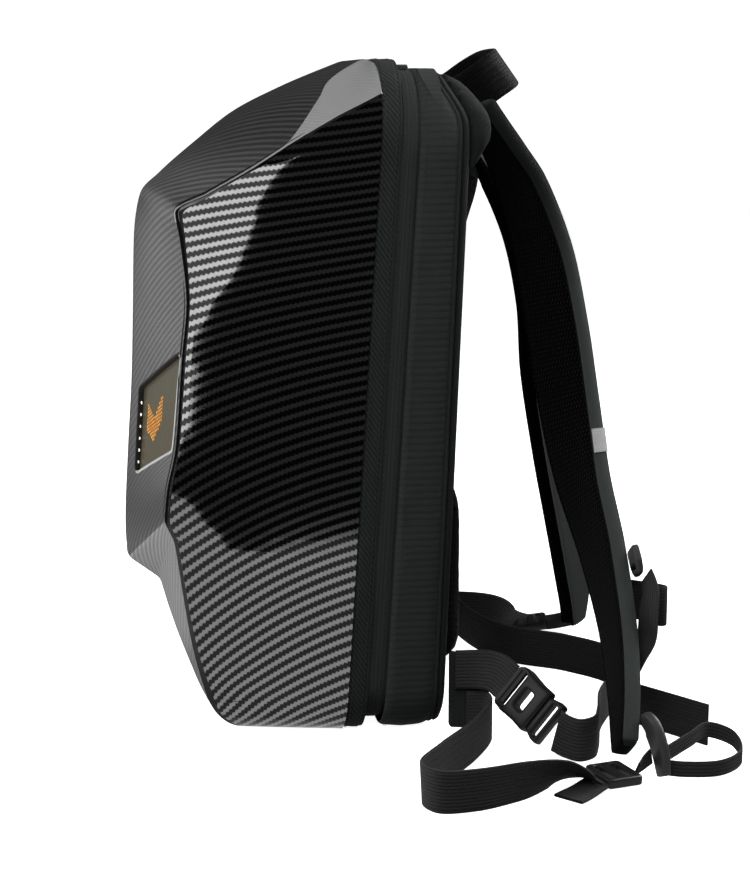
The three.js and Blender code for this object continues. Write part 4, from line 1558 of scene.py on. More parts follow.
@dataclass(frozen=True)
class Outline:
    """The bag's outline seen from the front, as loops that share their numbering."""

    # Points of a corner and of a level run
    corner: int = 22
    flat: int = 26

    def loop(self, inset: float, floor: float = 0.0, drop: float = 0.0) -> Array:
        """Places round the outline drawn in by an inset.

        Args:
            inset: distance inside the outline.
            floor: how far the base is raised.
            drop: how far the top is lowered.

        Returns:
            Points as x and z, anticlockwise from the middle of the base.
        """
        w, low, high = HALF_WIDTH - inset, floor + inset, HEIGHT - drop - inset
        rb, rt = max(BASE_RADIUS - inset, 4.0), max(TOP_RADIUS - inset, 4.0)
        n = self.flat // 2
        half = [np.stack([np.linspace(0, w - rb, n, endpoint=False), np.full(n, low)], 1)]
        a = np.linspace(-math.pi / 2, 0, self.corner)
        half.append(np.stack([w - rb + rb * np.cos(a), low + rb + rb * np.sin(a)], 1))
        rise = np.linspace(low + rb, high - rt, self.flat * 2)[1:-1]
        half.append(np.stack([np.full(len(rise), w), rise], 1))
        a = np.linspace(0, math.pi / 2, self.corner)
        half.append(np.stack([w - rt + rt * np.cos(a), high - rt + rt * np.sin(a)], 1))
        half.append(np.stack([np.linspace(w - rt, 0, n + 1)[1:], np.full(n, high)], 1))
        pts = np.concatenate(half)
        return np.concatenate([pts, pts[1:-1][::-1] * np.array([-1, 1])])

    def run(self, inset: float, y: Depth, floor: float = 0.0, drop: float = 0.0) -> Array:
        """The outline as a line in space at a depth that follows the height."""
        flat = self.loop(inset, floor, drop)
        return np.stack([flat[:, 0], y(flat[:, 1]), flat[:, 1]], 1)


@dataclass
class SoftBody:
    """The cloth rings from the shell's rim to the back panel, with the zip."""

    finishes: Finishes
    outline: Outline = field(default_factory=Outline)

    def ring(
        self, section: Sequence[tuple[float, Depth]], floor: float, drop: float, sag: float = 0.0
    ) -> Shape:
        """A ring round the bag with a closed wall section.

        Args:
            section: inset and depth of each point of the section.
            floor: how far the ring's base is raised.
            drop: how far its top is lowered.
            sag: height of the cloth's soft waves.

        Returns:
            The closed ring.
        """
        runs = np.stack([self.outline.run(inset, y, floor, drop) for inset, y in section], 1)
        if sag > 0:
            away = unit(np.stack([runs[:, 0, 0], np.zeros(len(runs)), (runs[:, 0, 2] - HEIGHT / 2) * 0.5], 1))
            outer = len(section) // 2
            for i in range(len(runs)):
                for j in range(1, outer - 1):
                    x, y, z = runs[i, j]
                    broad = noise.noise(Vector((x * 0.012, y * 0.05, z * 0.02)))
                    fine = noise.noise(Vector((x * 0.05, y * 0.09, z * 0.07)))
                    runs[i, j] += away[i] * (broad + 0.5 * fine - 0.3) * sag
        length = run_up(np.linalg.norm(np.diff(joined(runs), axis=0), axis=2).mean(1))
        girth = run_up(np.linalg.norm(np.diff(joined(runs, 1), axis=1), axis=2).mean(0))
        shape = Shape()
        shape.grid(runs, laid_out(length, girth), 0, (True, True))
        return shape

    def cord(
        self, inset: float, y: Depth, radius: float, name: str, floor: float, drop: float = 0.0
    ) -> bpy.types.Object:
        """A thin piping round the bag."""
        line = self.outline.run(inset, y, floor, drop)
        way = unit(np.roll(line, -1, 0) - np.roll(line, 1, 0))
        deep = np.tile([[0.0, 1.0, 0.0]], (len(line), 1))
        side = unit(np.cross(way, deep))
        a = np.linspace(0, 2 * math.pi, 9)[:-1]
        level, up = np.cos(a)[None, :, None], np.sin(a)[None, :, None]
        pts = line[:, None] + radius * (level * deep[:, None] + up * side[:, None])
        length = np.linspace(0, 1500, len(line) + 1)
        shape = Shape()
        shape.grid(pts, laid_out(length, np.linspace(0, 6, 9)), 0, (True, True))
        return shape.make(name, [self.finishes.cloth])

    def build(self) -> None:
        """Makes the tape, the zip band, the zip, the gusset, the piping and the back panel."""
        f = self.finishes

        def behind(line: Depth) -> Callable[[float], Depth]:
            """Lines at a distance behind a given one."""
            return lambda d: lambda z: line(z) + d

        def wall(depth: Callable[[float], Depth], *rows: tuple[float, float]) -> list[tuple[float, Depth]]:
            """Points of a section at insets and distances behind a line."""
            return [(inset, depth(d)) for inset, d in rows]

        rim, zipped, back = behind(rim_y), behind(zip_y), behind(back_y)
        tape = wall(rim, (2.0, 0.4), (0.9, 0.9), (0.55, 2.2), (0.5, 5), (0.5, 8.4))
        tape += wall(rim, (0.6, 11), (1.1, 12.5), (2.2, 12.95), (3.6, 12.9), (3.6, 0.5))
        dress(self.ring(tape, TAPE_RAISE, 0.0, 0.5).make("rim_binding", [f.tape]), ["rim_tape"])
        band = wall(rim, (3.0, 13.4), (1.8, 13.8), (1.3, 15), (1.2, 17), (1.3, 19.5), (1.35, 22))
        band += wall(zipped, (1.45, -2.2), (1.9, -0.75), (3.0, -0.4), (4.4, -0.4)) + wall(rim, (4.4, 13.5))
        dress(self.ring(band, BAND_RAISE, BODY_DROP, 0.7).make("zip_flap", [f.corded]), ["zip_band"])
        web = wall(zipped, (3.2, -1.15), (3.0, 0.0), (3.2, 1.15), (5.0, 1.15), (5.0, -1.15))
        dress(self.ring(web, BAND_RAISE, BODY_DROP).make("zip_tape", [f.cloth]), ["zip_teeth"])
        line = self.outline.run(3.4, zipped(0.0), BAND_RAISE, BODY_DROP)
        coil = Repeat(Mark.TOOTH).run("zip_coil", [joined(line)], 1.9, (1.1, 2.2, 1.5), f.teeth)
        dress(coil)
        gusset = wall(zipped, (3.2, 0.4), (1.7, 0.8), (0.6, 2.4), (0.0, 6), (-0.3, 11), (-0.4, 16))
        gusset += wall(back, (-0.2, -12), (0.2, -8), (1.2, -4.6), (2.6, -2.2), (5.0, -0.2), (7.6, -0.2))
        gusset += wall(back, (4.2, -4)) + wall(zipped, (3.6, 8), (3.6, 1.7))
        cloth = self.ring(gusset, BODY_RAISE, BODY_DROP, 1.1).make("gusset_cloth", [f.barred])
        dress(cloth, ["rear_gusset"])
        dress(self.cord(1.7, rim(13.2), 1.0, "tape_piping", BODY_RAISE))
        dress(self.cord(3.0, back(-1.2), 1.4, "back_piping", BODY_RAISE, BODY_DROP))
        seams = (
            (0.42, rim(2.6), TAPE_RAISE, 0.0),
            (0.5, rim(10.6), TAPE_RAISE, 0.0),
            (1.2, rim(15.8), BAND_RAISE, BODY_DROP),
            (1.35, rim(22.4), BAND_RAISE, BODY_DROP),
            (0.15, zipped(4.6), BODY_RAISE, BODY_DROP),
        )
        lines = [joined(self.outline.run(*seam)) for seam in seams]
        stitches = Repeat(Mark.STITCH).run("body_stitches", lines, 4.0, (2.7, 0.55, 0.55), f.thread)
        dress(stitches)
        self.back_panel(back)

    def back_panel(self, back: Callable[[float], Depth]) -> None:
        """Makes the cloth panel that closes the back."""
        rings = [(5.0, 0.5), (2.6, 1.4), (2.2, 2.6), (3.2, 4.4), (6.5, 5.9)]
        rings += [(inset, BACK_THICK) for inset in (12.0, 40.0, 80.0, 120.0)]
        loops = np.stack([self.outline.run(i, back(d), BODY_RAISE, BODY_DROP) for i, d in rings])
        shape = Shape()
        weave = np.stack([loops[..., 0], loops[..., 2]], -1)
        shape.tube(loops, joined(weave, 1))
        dress(shape.make("back_cloth", [self.finishes.cloth_back]), ["back_panel"])


@dataclass
class Padding:
    """Pads on the back and the padded roll above them."""

    finishes: Finishes
    voxel: float = 4.5
    pressure: float = 4.0
    stiffness: float = 12.0
    frames: int = 20
    cap: float = 5.0
    foot: float = 2.6
    roll_foot: float = 395.6
    roll_inset: float = 3.4

    def sewn(self, levels: Sequence[float], reach: float) -> Mask:
        """Says which points lie at a pad's foot or near the levels of its seams."""

        def held(p: Array) -> Array:
            """Whether each point is sewn down."""
            low = p[:, 1] < back_y(p[:, 2]) + BACK_THICK + self.foot
            return low | (np.abs(p[:, 2:] - np.array(levels)) < reach).any(1)

        return held

    def puff(
        self, obj: bpy.types.Object, name: str, finish: bpy.types.Material, held: Mask
    ) -> bpy.types.Object:
        """Swells a pad as cloth round its filling.

        Args:
            obj: the pad's plain form, a little small.
            name: name of the result.
            finish: its material.
            held: which points, in table millimetres, are sewn down.

        Returns:
            The swollen pad.
        """
        remesh = obj.modifiers.new("remesh", "REMESH")
        remesh.mode = "VOXEL"
        remesh.voxel_size = self.voxel * MM
        obj = baked(obj, name, [finish], 180.0)
        rest = np.array([v.co for v in obj.data.vertices])
        table = rest / MM - np.array([0, BASE_CENTRE, 0])
        group = obj.vertex_groups.new(name="sewn")
        group.add([int(k) for k in np.nonzero(held(table))[0]], 1.0, "REPLACE")
        cloth = obj.modifiers.new("cloth", "CLOTH")
        settings = cloth.settings
        settings.use_pressure = True
        settings.uniform_pressure_force = self.pressure
        settings.effector_weights.gravity = 0.0
        settings.vertex_group_mass = "sewn"
        settings.quality = 5
        settings.tension_stiffness = settings.compression_stiffness = self.stiffness
        cloth.point_cache.frame_start, cloth.point_cache.frame_end = 1, self.frames
        scene = bpy.context.scene
        for k in range(1, self.frames + 1):
            scene.frame_set(k)
        graph = bpy.context.evaluated_depsgraph_get()
        moved = np.array([v.co for v in obj.evaluated_get(graph).data.vertices])
        step = moved - rest
        size = np.linalg.norm(step, axis=1, keepdims=True)
        step *= np.minimum(1.0, self.cap * MM / np.maximum(size, 1e-9))
        obj.modifiers.remove(cloth)
        obj.vertex_groups.clear()
        scene.frame_set(1)
        obj.data.vertices.foreach_set("co", (rest + step).ravel())
        obj.data.update()
        soft = obj.modifiers.new("soft", "SUBSURF")
        soft.levels = soft.render_levels = 1
        return baked(obj, name, [finish], 180.0)

    def pad(self, box: Sequence[float], radius: float, low: float, high: float, lift: float) -> Shape:
        """A pad's plain form: a rounded outline that domes away from the back panel.

        Args:
            box: its left, right, lower and upper edges.
            radius: radius of its corners.
            low: its height at the foot.
            high: its height at the top.
            lift: share of the way up at which it starts to rise.

        Returns:
            The closed form.
        """
        x0, x1, z0, z1 = box
        rise_at = [(1.5, 0.0), (0.4, 0.15), (0.6, 0.42), (2.4, 0.68)]
        rise_at += [(6.0, 0.85), (12.0, 0.94), (22.0, 1.0), (34.0, 1.02)]
        loops = []
        for inset, rise in rise_at:
            a, b, c, d = x0 + inset, x1 - inset, z0 + inset, z1 - inset
            edge = rounded([(a, c), (b, c), (b, d), (a, d)], max(radius - inset, 4.0), 8)
            flat = even(edge, 120, True)
            swell = smooth(((flat[:, 1] - z0) / (z1 - z0) - lift) / (1 - lift))
            deep = back_y(flat[:, 1]) + BACK_THICK + 0.3 + rise * 0.9 * (low + (high - low) * swell)
            loops.append(np.stack([flat[:, 0], deep, flat[:, 1]], 1))
        shape = Shape()
        shape.tube(np.stack(loops))
        return shape

    def build(self) -> None:
        """Makes the three back pads and the roll."""
        spec = (
            ("upper_pad_right", (16, 122, 226, 402), 26, 5, 20, 0.62),
            ("upper_pad_left", (-122, -16, 226, 402), 26, 5, 20, 0.62),
            ("lumbar_pad", (-122, 122, 40, 172), 30, 20, 15, 0.0),
        )
        held, finish = self.sewn((106, 279, 331), 2.6), self.finishes.mesh_back
        for name, *size in spec:
            plain = self.pad(*size).make(name + "_plain", [finish])
            dress(self.puff(plain, name + "_mesh", finish, held), [name])
        self.roll()

    def roll(self) -> None:
        """Makes the padded roll across the top of the back."""
        rise = np.linspace(0, 1, 33)
        low = [(0, 3.4), (0.15, 6.4), (0.4, 11.2), (0.63, 15.6)]
        knots = np.array(low + [(0.73, 16), (0.85, 14.4), (0.94, 10.6), (1, 3)])
        deep = monotone(knots[:, 0], knots[:, 1:], rise)[:, 0]
        ends = [(149.5, 0.45), (148.5, 0.72), (146, 0.92)]
        loops = []
        for x, share in ends + [(x, 1) for x in (142, 134, 122, 109, 95, 48, 0)]:
            corner = max(0.0, x - (HALF_WIDTH - TOP_RADIUS))
            top = HEIGHT - BODY_DROP - TOP_RADIUS
            top += math.sqrt((TOP_RADIUS - self.roll_inset) ** 2 - corner**2)
            z = self.roll_foot + (top - self.roll_foot) * rise
            lie = back_y(z) + BACK_THICK + 0.9
            yz = np.concatenate([np.stack([lie + deep * share, z], 1), np.stack([lie, z], 1)[::-2]])
            loops.append(np.concatenate([np.full((len(yz), 1), x), yz], 1))
        loops = [l * np.array([-1, 1, 1]) for l in loops[:-1]] + loops[::-1]
        shape = Shape()
        shape.tube(np.stack(loops))
        finish = self.finishes.cloth_back
        plain = shape.make("yoke_plain", [finish])
        dress(self.puff(plain, "yoke_roll", finish, self.sewn((399,), 2.4)), ["yoke"])


class StrapFinish(IntEnum):
    """A shoulder strap's finishes by number."""

    MESH = 0
    WALL = 1
    CLOTH = 2


@dataclass
class Strap:
    """One padded shoulder strap."""

    name: str
    rows: tuple[tuple[float, ...], ...]
    facing: float
    finishes: Finishes
    width: float = 66.0
    thick: float = 12.6
    seam: float = 5.2
    steps: int = 12
    tab_station: float = 6.625

    def section(self) -> tuple[Array, Array]:
        """The strap's section and the finish of each of its sides."""
        w, h, s = self.width / 2, self.thick / 2, self.facing
        u = np.linspace(-w + 1.6, w - 1.6, 25)
        seam = 1.2 * np.exp(-(((np.abs(u) - (w - self.seam)) / 1.3) ** 2))
        crown = 1.1 * (1 - (u / w) ** 2)
        inner = np.stack([u, s * (h - 0.9 + crown - seam)], 1)
        outer = np.stack([u[::-1], -s * (h - 0.9 + 0.7 * crown - 0.7 * seam)], 1)
        turn = np.linspace(-1, 1, 9)[1:-1] * 1.25
        rise, bow = -np.sin(turn) / math.sin(1.25), (np.cos(turn) - math.cos(1.25)) * 3.4
        right = np.stack([w - 2.2 + bow, s * (h - 0.9) * rise], 1)
        left = np.stack([-w + 2.2 - bow, -s * (h - 0.9) * rise], 1)
        pts = np.concatenate([inner, right, outer, left])
        kinds = [StrapFinish.MESH, StrapFinish.WALL, StrapFinish.CLOTH, StrapFinish.MESH]
        return pts, np.repeat(kinds, [24, 8, 24, 8])

    def build(self, stitch: Repeat) -> Path:
        """Makes the strap with its stitches and returns its path."""
        path = Path(self.rows, self.steps)
        wide = 1 - 0.58 * np.maximum(0, (path.t - 0.68) / 0.32) ** 1.5
        pts, kinds = self.section()
        f = self.finishes
        shape = path.sweep(pts, kinds[None], wide, 3.0)
        strap = shape.make("strap_" + self.name, [f.mesh, f.wall, f.cloth], 50.0)
        dress(strap, ["shoulder_strap_" + self.name])
        beside, over = self.width / 2 - self.seam, self.facing * (self.thick / 2 - 1.7)
        ways = ((-1, 1), (-1, -1), (1, 1), (1, -1))
        lines = [path.offset(side * beside, face * over, wide)[6:-4] for side, face in ways]
        name = "strap_stitches_" + self.name
        dress(stitch.run(name, lines, 4.2, (2.9, 0.6, 0.6), f.thread))
        return path

    def tab(self, path: Path) -> None:
        """Makes the reflective tab folded over the strap's outer wall."""
        w, h = self.width / 2 + 0.5, self.thick / 2
        rise = np.linspace(-0.86, 0.86, 9) * h
        bow = w + 0.35 - 0.9 * (rise / h) ** 4
        mid = path.length[round(self.tab_station * self.steps)]
        run = np.unique([int(np.argmin(np.abs(path.length - (mid + d)))) for d in np.linspace(-9, 9, 7)])
        across, normal = path.across[run, None], path.normal[run, None]
        outer = path.point[run, None] + across * bow[None, :, None] + normal * rise[None, :, None]
        shape = Shape()
        shape.leaf(outer, outer - across * 0.5)
        tab = shape.make("strap_tab_" + self.name, [self.finishes.reflective])
        dress(tab, ["reflective_tab_" + self.name])


@dataclass
class Harness:
    """Straps, handle, webbing and the cloth wings that hold them."""

    finishes: Finishes
    # Stations of each line: a place, then the way the width lies
    right: tuple[tuple[float, ...], ...] = (
        (74, 105.5, 436, 1, 0.04, 0), (75, 112.2, 424, 1, 0.08, 0), (77, 122.5, 406, 1, 0.15, 0),
        (79, 134, 384, 1, 0.26, 0), (84, 149.5, 338, 1, 0.36, 0), (92, 159, 284, 1, 0.4, 0.05),
        (104, 165.5, 230, 1, 0.38, 0.1), (122, 172, 178, 1, 0.26, 0.15),
        (148, 181, 128, 1, 0.12, 0.2), (180, 184, 82, 1, 0.02, 0.3), (213, 180, 45, 1, 0, 0.3),
        (238, 174, 16, 1, 0, 0.3),
    )
    left: tuple[tuple[float, ...], ...] = (
        (-74, 105.5, 436, -1, 0.04, 0), (-75, 113, 424, -1, 0.12, 0), (-77, 126, 406, -1, 0.25, 0),
        (-79, 146, 384, -1, 0.42, 0), (-82, 171, 338, -1, 0.55, 0), (-85, 185.5, 284, -1, 0.6, 0),
        (-88, 191.5, 228, -1, 0.65, 0), (-90, 202.5, 168, -1, 0.7, 0),
        (-92, 215, 108, -1, 0.75, 0), (-93, 223, 60, -1, 0.75, 0), (-94, 226, 32, -1, 0.75, 0),
        (-94.5, 226, 11, -1, 0.75, 0),
    )
    # Name, width, thickness and stations of each piece of webbing
    webs: tuple[tuple[str, float, float, tuple[tuple[float, ...], ...]], ...] = (
        ("grab_handle", 32, 3.6, (
            (30, 98.4, 440.5, 0, 0.59, -0.81), (33.5, 110.5, 448.5, 0, 0.59, -0.81),
            (34, 122, 456.5, 0, 0.59, -0.81), (28.5, 132.5, 463, 0, 0.59, -0.81),
            (0, 138.5, 465.5, 0, 0.59, -0.81), (-28.5, 132.5, 463, 0, 0.59, -0.81),
            (-34, 122, 456.5, 0, 0.59, -0.81), (-33.5, 110.5, 448.5, 0, 0.59, -0.81),
            (-30, 98.4, 440.5, 0, 0.59, -0.81),
        )),
        ("adjuster_right", 30, 2.0, (
            (148.6, 84, 15.4, 0, 0, 1), (150.6, 97, 15.4, 0, 0, 1), (166, 98, 15.4, 0, 0, 1),
            (208, 78, 15.4, 0, 0, 1), (254, 46, 15.4, 0, 0, 1), (288, 27, 15.4, 0.1, -0.1, 1),
            (305, 35, 15.4, 0.15, 0, 1), (305, 60, 15.4, 0.1, 0.1, 1),
            (294, 92, 15.4, 0.2, 0.1, 1), (281, 118, 13.6, 0.6, 0.2, 0.8),
            (273.4, 134, 9, 1, 0.2, 0.3), (271.6, 141.6, 7.4, 1, 0.25, 0.06),
        )),
        ("adjuster_left", 30, 2.0, (
            (-142.6, 82, 16, 0, 0, 1), (-141, 100, 15.4, 0, 0, 1), (-132, 122, 15.4, 0, 0, 1),
            (-124, 144, 15.4, 0, 0, 1), (-113, 163, 14, -0.6, 0.2, 0.9),
            (-105, 173, 10, -1, 0.2, 0.4), (-98.5, 190, 9, -1, 0.2, 0.1),
            (-95.5, 205, 9.5, -1, 0.1, 0.1), (-94.5, 221, 12, -1, 0.1, 0.1),
        )),
        ("adjuster_tab_right", 24, 2.0, (
            (273, 149, 6.4, 1, 0.25, 0), (278, 142, 4.6, 1, 0.22, 0), (285, 132, 2.4, 1, 0.2, 0),
            (293, 121, 1.4, 1, 0.2, 0),
        )),
        ("belt_right", 28, 2.0, (
            (148.6, 76, 46.5, 0, 0.3, 1), (150.4, 92, 46.5, 0, 0.3, 1),
            (155, 103, 45.5, -0.2, 0.4, 1), (162.4, 110.6, 40, -0.3, 0.4, 1),
        )),
        ("belt_left", 30, 2.0, (
            (206.5, 135, 17.6, -0.1, 0.1, 1), (214, 139.6, 16, -0.05, 0.05, 1),
            (222, 147, 15.4, 0, 0, 1), (217, 158, 15.4, 0, 0, 1), (196, 167, 15.4, 0, 0, 1),
            (160, 178, 15.4, 0, 0, 1), (105, 204, 15.4, 0, 0, 1), (55, 215, 15.4, 0, 0, 1),
            (15, 190, 15.4, 0, 0, 1), (-20, 150, 15.4, 0, 0, 1), (-75, 126, 20, 0, 0, 1),
            (-120, 113, 40, 0, 0, 1), (-136.6, 100, 47, 0, 0, 1), (-142.4, 80, 47, 0, 0, 1),
        )),
        ("belt_tail", 30, 2.0, (
            (142, 203, 15.4, 0, 0, 1), (168, 220, 15.4, 0, 0, 1), (204, 243, 15.4, 0, 0, 1),
        )),
        ("chest_webbing", 20, 1.6, (
            (191, 200.6, 120, 0.95, 0.1, 0.1), (200, 201, 110, 0.93, 0.25, 0.1),
            (203, 199, 96, 0.9, 0.4, 0.1), (203, 198, 80, 0.9, 0.4, 0),
            (200, 193, 66, 0.93, 0.25, 0), (196, 190.6, 55, 0.95, 0, 0),
        )),
        ("chest_loop", 28, 1.6, (
            (166, 193, 98, 0, 0, 1), (176, 205, 98, 0, 0, 1), (184, 213, 98, 0, 0, 1),
            (189.5, 215.5, 98, 0, 0, 1), (192, 212.5, 98, 0, 0, 1), (189, 206.5, 98, 0, 0, 1),
        )),
        ("tail_link", 14, 1.6, (
            (256.5, 186.6, 14, 0.3, 0, 1), (260, 180, 10.4, 0.4, 0, 0.9),
            (264, 174.8, 8, 0.6, 0, 0.7),
        )),
        ("tail_loop", 11, 1.6, (
            (256, 196, 14, 0, 0, 1), (240, 218, 18, 0, 0, 1), (221, 238, 18, 0, 0, 1),
            (226, 253, 13, 0, 0, 1), (248, 252, 8, 0, 0, 1), (265, 232, 6.4, 0, 0, 1),
            (264, 207, 6.4, 0, 0, 1), (260, 198, 6.4, 0, 0, 1),
        )),
    )
    wing: tuple[tuple[float, float], ...] = ((72, 60), (72, 4), (98, 2), (101, 30), (97, 52))

    def build(self) -> None:
        """Makes the straps, the webbing and the wings."""
        stitch = Repeat(Mark.STITCH)
        for name, rows, facing in (("right", self.right, 1.0), ("left", self.left, -1.0)):
            strap = Strap(name, rows, facing, self.finishes)
            strap.tab(strap.build(stitch))
        for name, width, thick, rows in self.webs:
            path = Path(rows, 14)
            shape = path.sweep(web_section(width, thick))
            finish = self.finishes.handle if name == "grab_handle" else self.finishes.webbing
            dress(shape.make(name + "_web", [finish], 50.0), [name])
        self.wings(stitch)

    def wings(self, stitch: Repeat) -> None:
        """Makes the two cloth wings low on the back."""
        flat = rounded(self.wing, 3.0, 4)
        middle = flat.mean(0)

        def loop(x: float, shrink: float) -> Array:
            """The wing's outline at a distance from the middle, drawn in by a share."""
            p = flat + (middle - flat) * shrink
            return np.stack([np.full(len(p), x), p[:, 0], p[:, 1]], 1)

        layers = [(144.2, 0.03), (144.0, 0.0), (147.0, 0.0), (147.3, 0.05), (147.4, 0.3), (147.5, 0.65)]
        lines = []
        for side, name in SIDES:
            shape = Shape()
            loops = np.stack([loop(side * x, shrink) for x, shrink in layers])
            weave = loops[..., 1:]
            shape.tube(loops, joined(weave, 1))
            dress(shape.make("wing_cloth_" + name, [self.finishes.cloth]), ["wing_" + name])
            lines.append(joined(loop(side * 147.45, 0.12)))
        dress(stitch.run("wing_stitches", lines, 4.0, (2.7, 0.6, 0.6), self.finishes.thread))


@dataclass
class Hardware:
    """Buckles, locks, sliders and the zip's slider."""

    finishes: Finishes

    def plate(
        self,
        name: str,
        seat: Seat,
        outline: Array,
        holes: Sequence[Array],
        thick: float,
        edge: float,
        finish: bpy.types.Material,
        slot: str,
        nodes: Sequence[str],
        crown: float = 0.0,
    ) -> None:
        """Makes one moulded plate with holes and rounded edges.

        Args:
            name: its name.
            seat: where it sits.
            outline: its outline.
            holes: outlines of its holes.
            thick: its thickness.
            edge: radius of its edges.
            finish: its material.
            slot: not used.
            nodes: the solids it stands for.
            crown: how far its faces bow out in the middle.
        """
        pts, faces = cut_plate(outline, holes, thick, edge)
        if crown:
            reach = np.abs(outline).max(0)
            bow = (1 - (pts[:, 0] / reach[0]) ** 2) * (1 - 0.6 * (pts[:, 1] / reach[1]) ** 2)
            pts[:, 2] += np.sign(pts[:, 2]) * crown * np.maximum(bow, 0)
        shape = Shape()
        shape.solid(seat.set(pts), faces)
        dress(shape.make(name, [finish], 32.0), nodes)

    def build(self) -> None:
        """Makes every piece of hardware."""
        f = self.finishes
        lock = box_outline(26, 34, 4.0)
        slots = [box_outline(5, 25, 1.6, (s, 0)) for s in (-6, 6)]
        for name, seat in (
            ("right", Seat((268, 158, 6.8), (-0.25, 1, 0), (1, 0.25, 0))),
            ("left", Seat((-98, 190, 9), (0.2, 1, 0.15), (-1, 0.2, 0))),
        ):
            node = "ladder_lock_" + name
            self.plate("strap_lock_" + name, seat, lock, slots, 6.6, 1.6, f.plastic, "plastic", [node])
        self.buckle()
        slider = mirrored([(-10, -12), (2, -12), (10, -7)], 3.5)
        seat = Seat((181, 195.6, 128), (0.45, 0.12, -0.88), (0.9, -0.1, 0.4))
        hole = [box_outline(3.0, 15, 1.2, (4.5, 0))]
        kind, node = "grey_plastic", ["chest_slider"]
        self.plate("chest_runner", seat, slider, hole, 4.6, 1.4, f.grey_plastic, kind, node, 0.6)
        spots = ((243, 186, 36), (251, 189, 31), (259, 192, 18), (265, 193, 4))
        path = Path(tuple((*spot, 1, 0.2, 0) for spot in spots), 16)
        section = box_outline(19, 6.4, 2.6)
        wide = 0.55 + 0.5 * np.sin(np.clip(path.t, 0, 1) ** 0.7 * math.pi)
        lever = path.sweep(section, 0, wide, 1.4).make("lever", [f.grey_plastic], 50.0)
        dress(lever, ["cam_lever"])
        high = HEIGHT - BODY_DROP
        top = np.array([64.0, float(zip_y(high)), high])
        body = mirrored([(-6.5, -3.2), (-3.5, -4.5), (6.5, -3.4)], 1.4)
        seat = Seat(tuple(top + (0, 0, 1.0)), (1, 0, 0), (0, 1, 0))
        self.plate("zip_runner", seat, body, [], 3.8, 1.1, f.metal, "metal", ["zip_slider"], 0.3)
        pull = mirrored([(-10, -3), (6, -2.4), (10, -1.6)], 1.4)
        seat = Seat(tuple(top + (-18, 0, 0.4)), (1, 0, 0), (0, 1, 0))
        hole = [box_outline(4, 2.6, 1.0, (-5.5, 0))]
        self.plate("zip_tab", seat, pull, hole, 1.6, 0.5, f.metal, "metal", ["zip_pull"])

    def buckle(self) -> None:
        """Makes the fastened buckle: a socket with a web slot and the tongue in it."""
        start, end = np.array([164.0, 112.0, 39.0]), np.array([203.0, 133.0, 19.0])
        way = unit(end - start)
        rise = np.array([-0.3, 0.4, 1.0])
        up = unit(rise - (rise @ way) * way)
        reach = float(np.linalg.norm(end - start))

        def seat(t: float) -> Seat:
            """A seat at a distance along the buckle."""
            return Seat(tuple(start + way * t), tuple(way), tuple(up))

        f = self.finishes.plastic
        body = mirrored([(-16.3, -16.5), (-9, -17.5), (5, -16.4), (16.3, -17)], 2.6)
        holes = [box_outline(6.4, 28, 1.6, (-11.3, 0)), box_outline(8, 15, 2.0, (2.2, 0))]
        self.plate("buckle_body", seat(17.3), body, holes, 9.6, 2.4, f, "plastic", ["buckle_socket"], 0.5)
        tongue = mirrored([(-7, -14), (1, -16.5), (7, -16.5)], 2.2)
        hole, node = [box_outline(4.6, 26, 1.4, (0.8, 0))], ["buckle_tongue"]
        self.plate("buckle_insert", seat(reach - 7.6), tongue, hole, 7.4, 1.8, f, "plastic", node, 0.4)


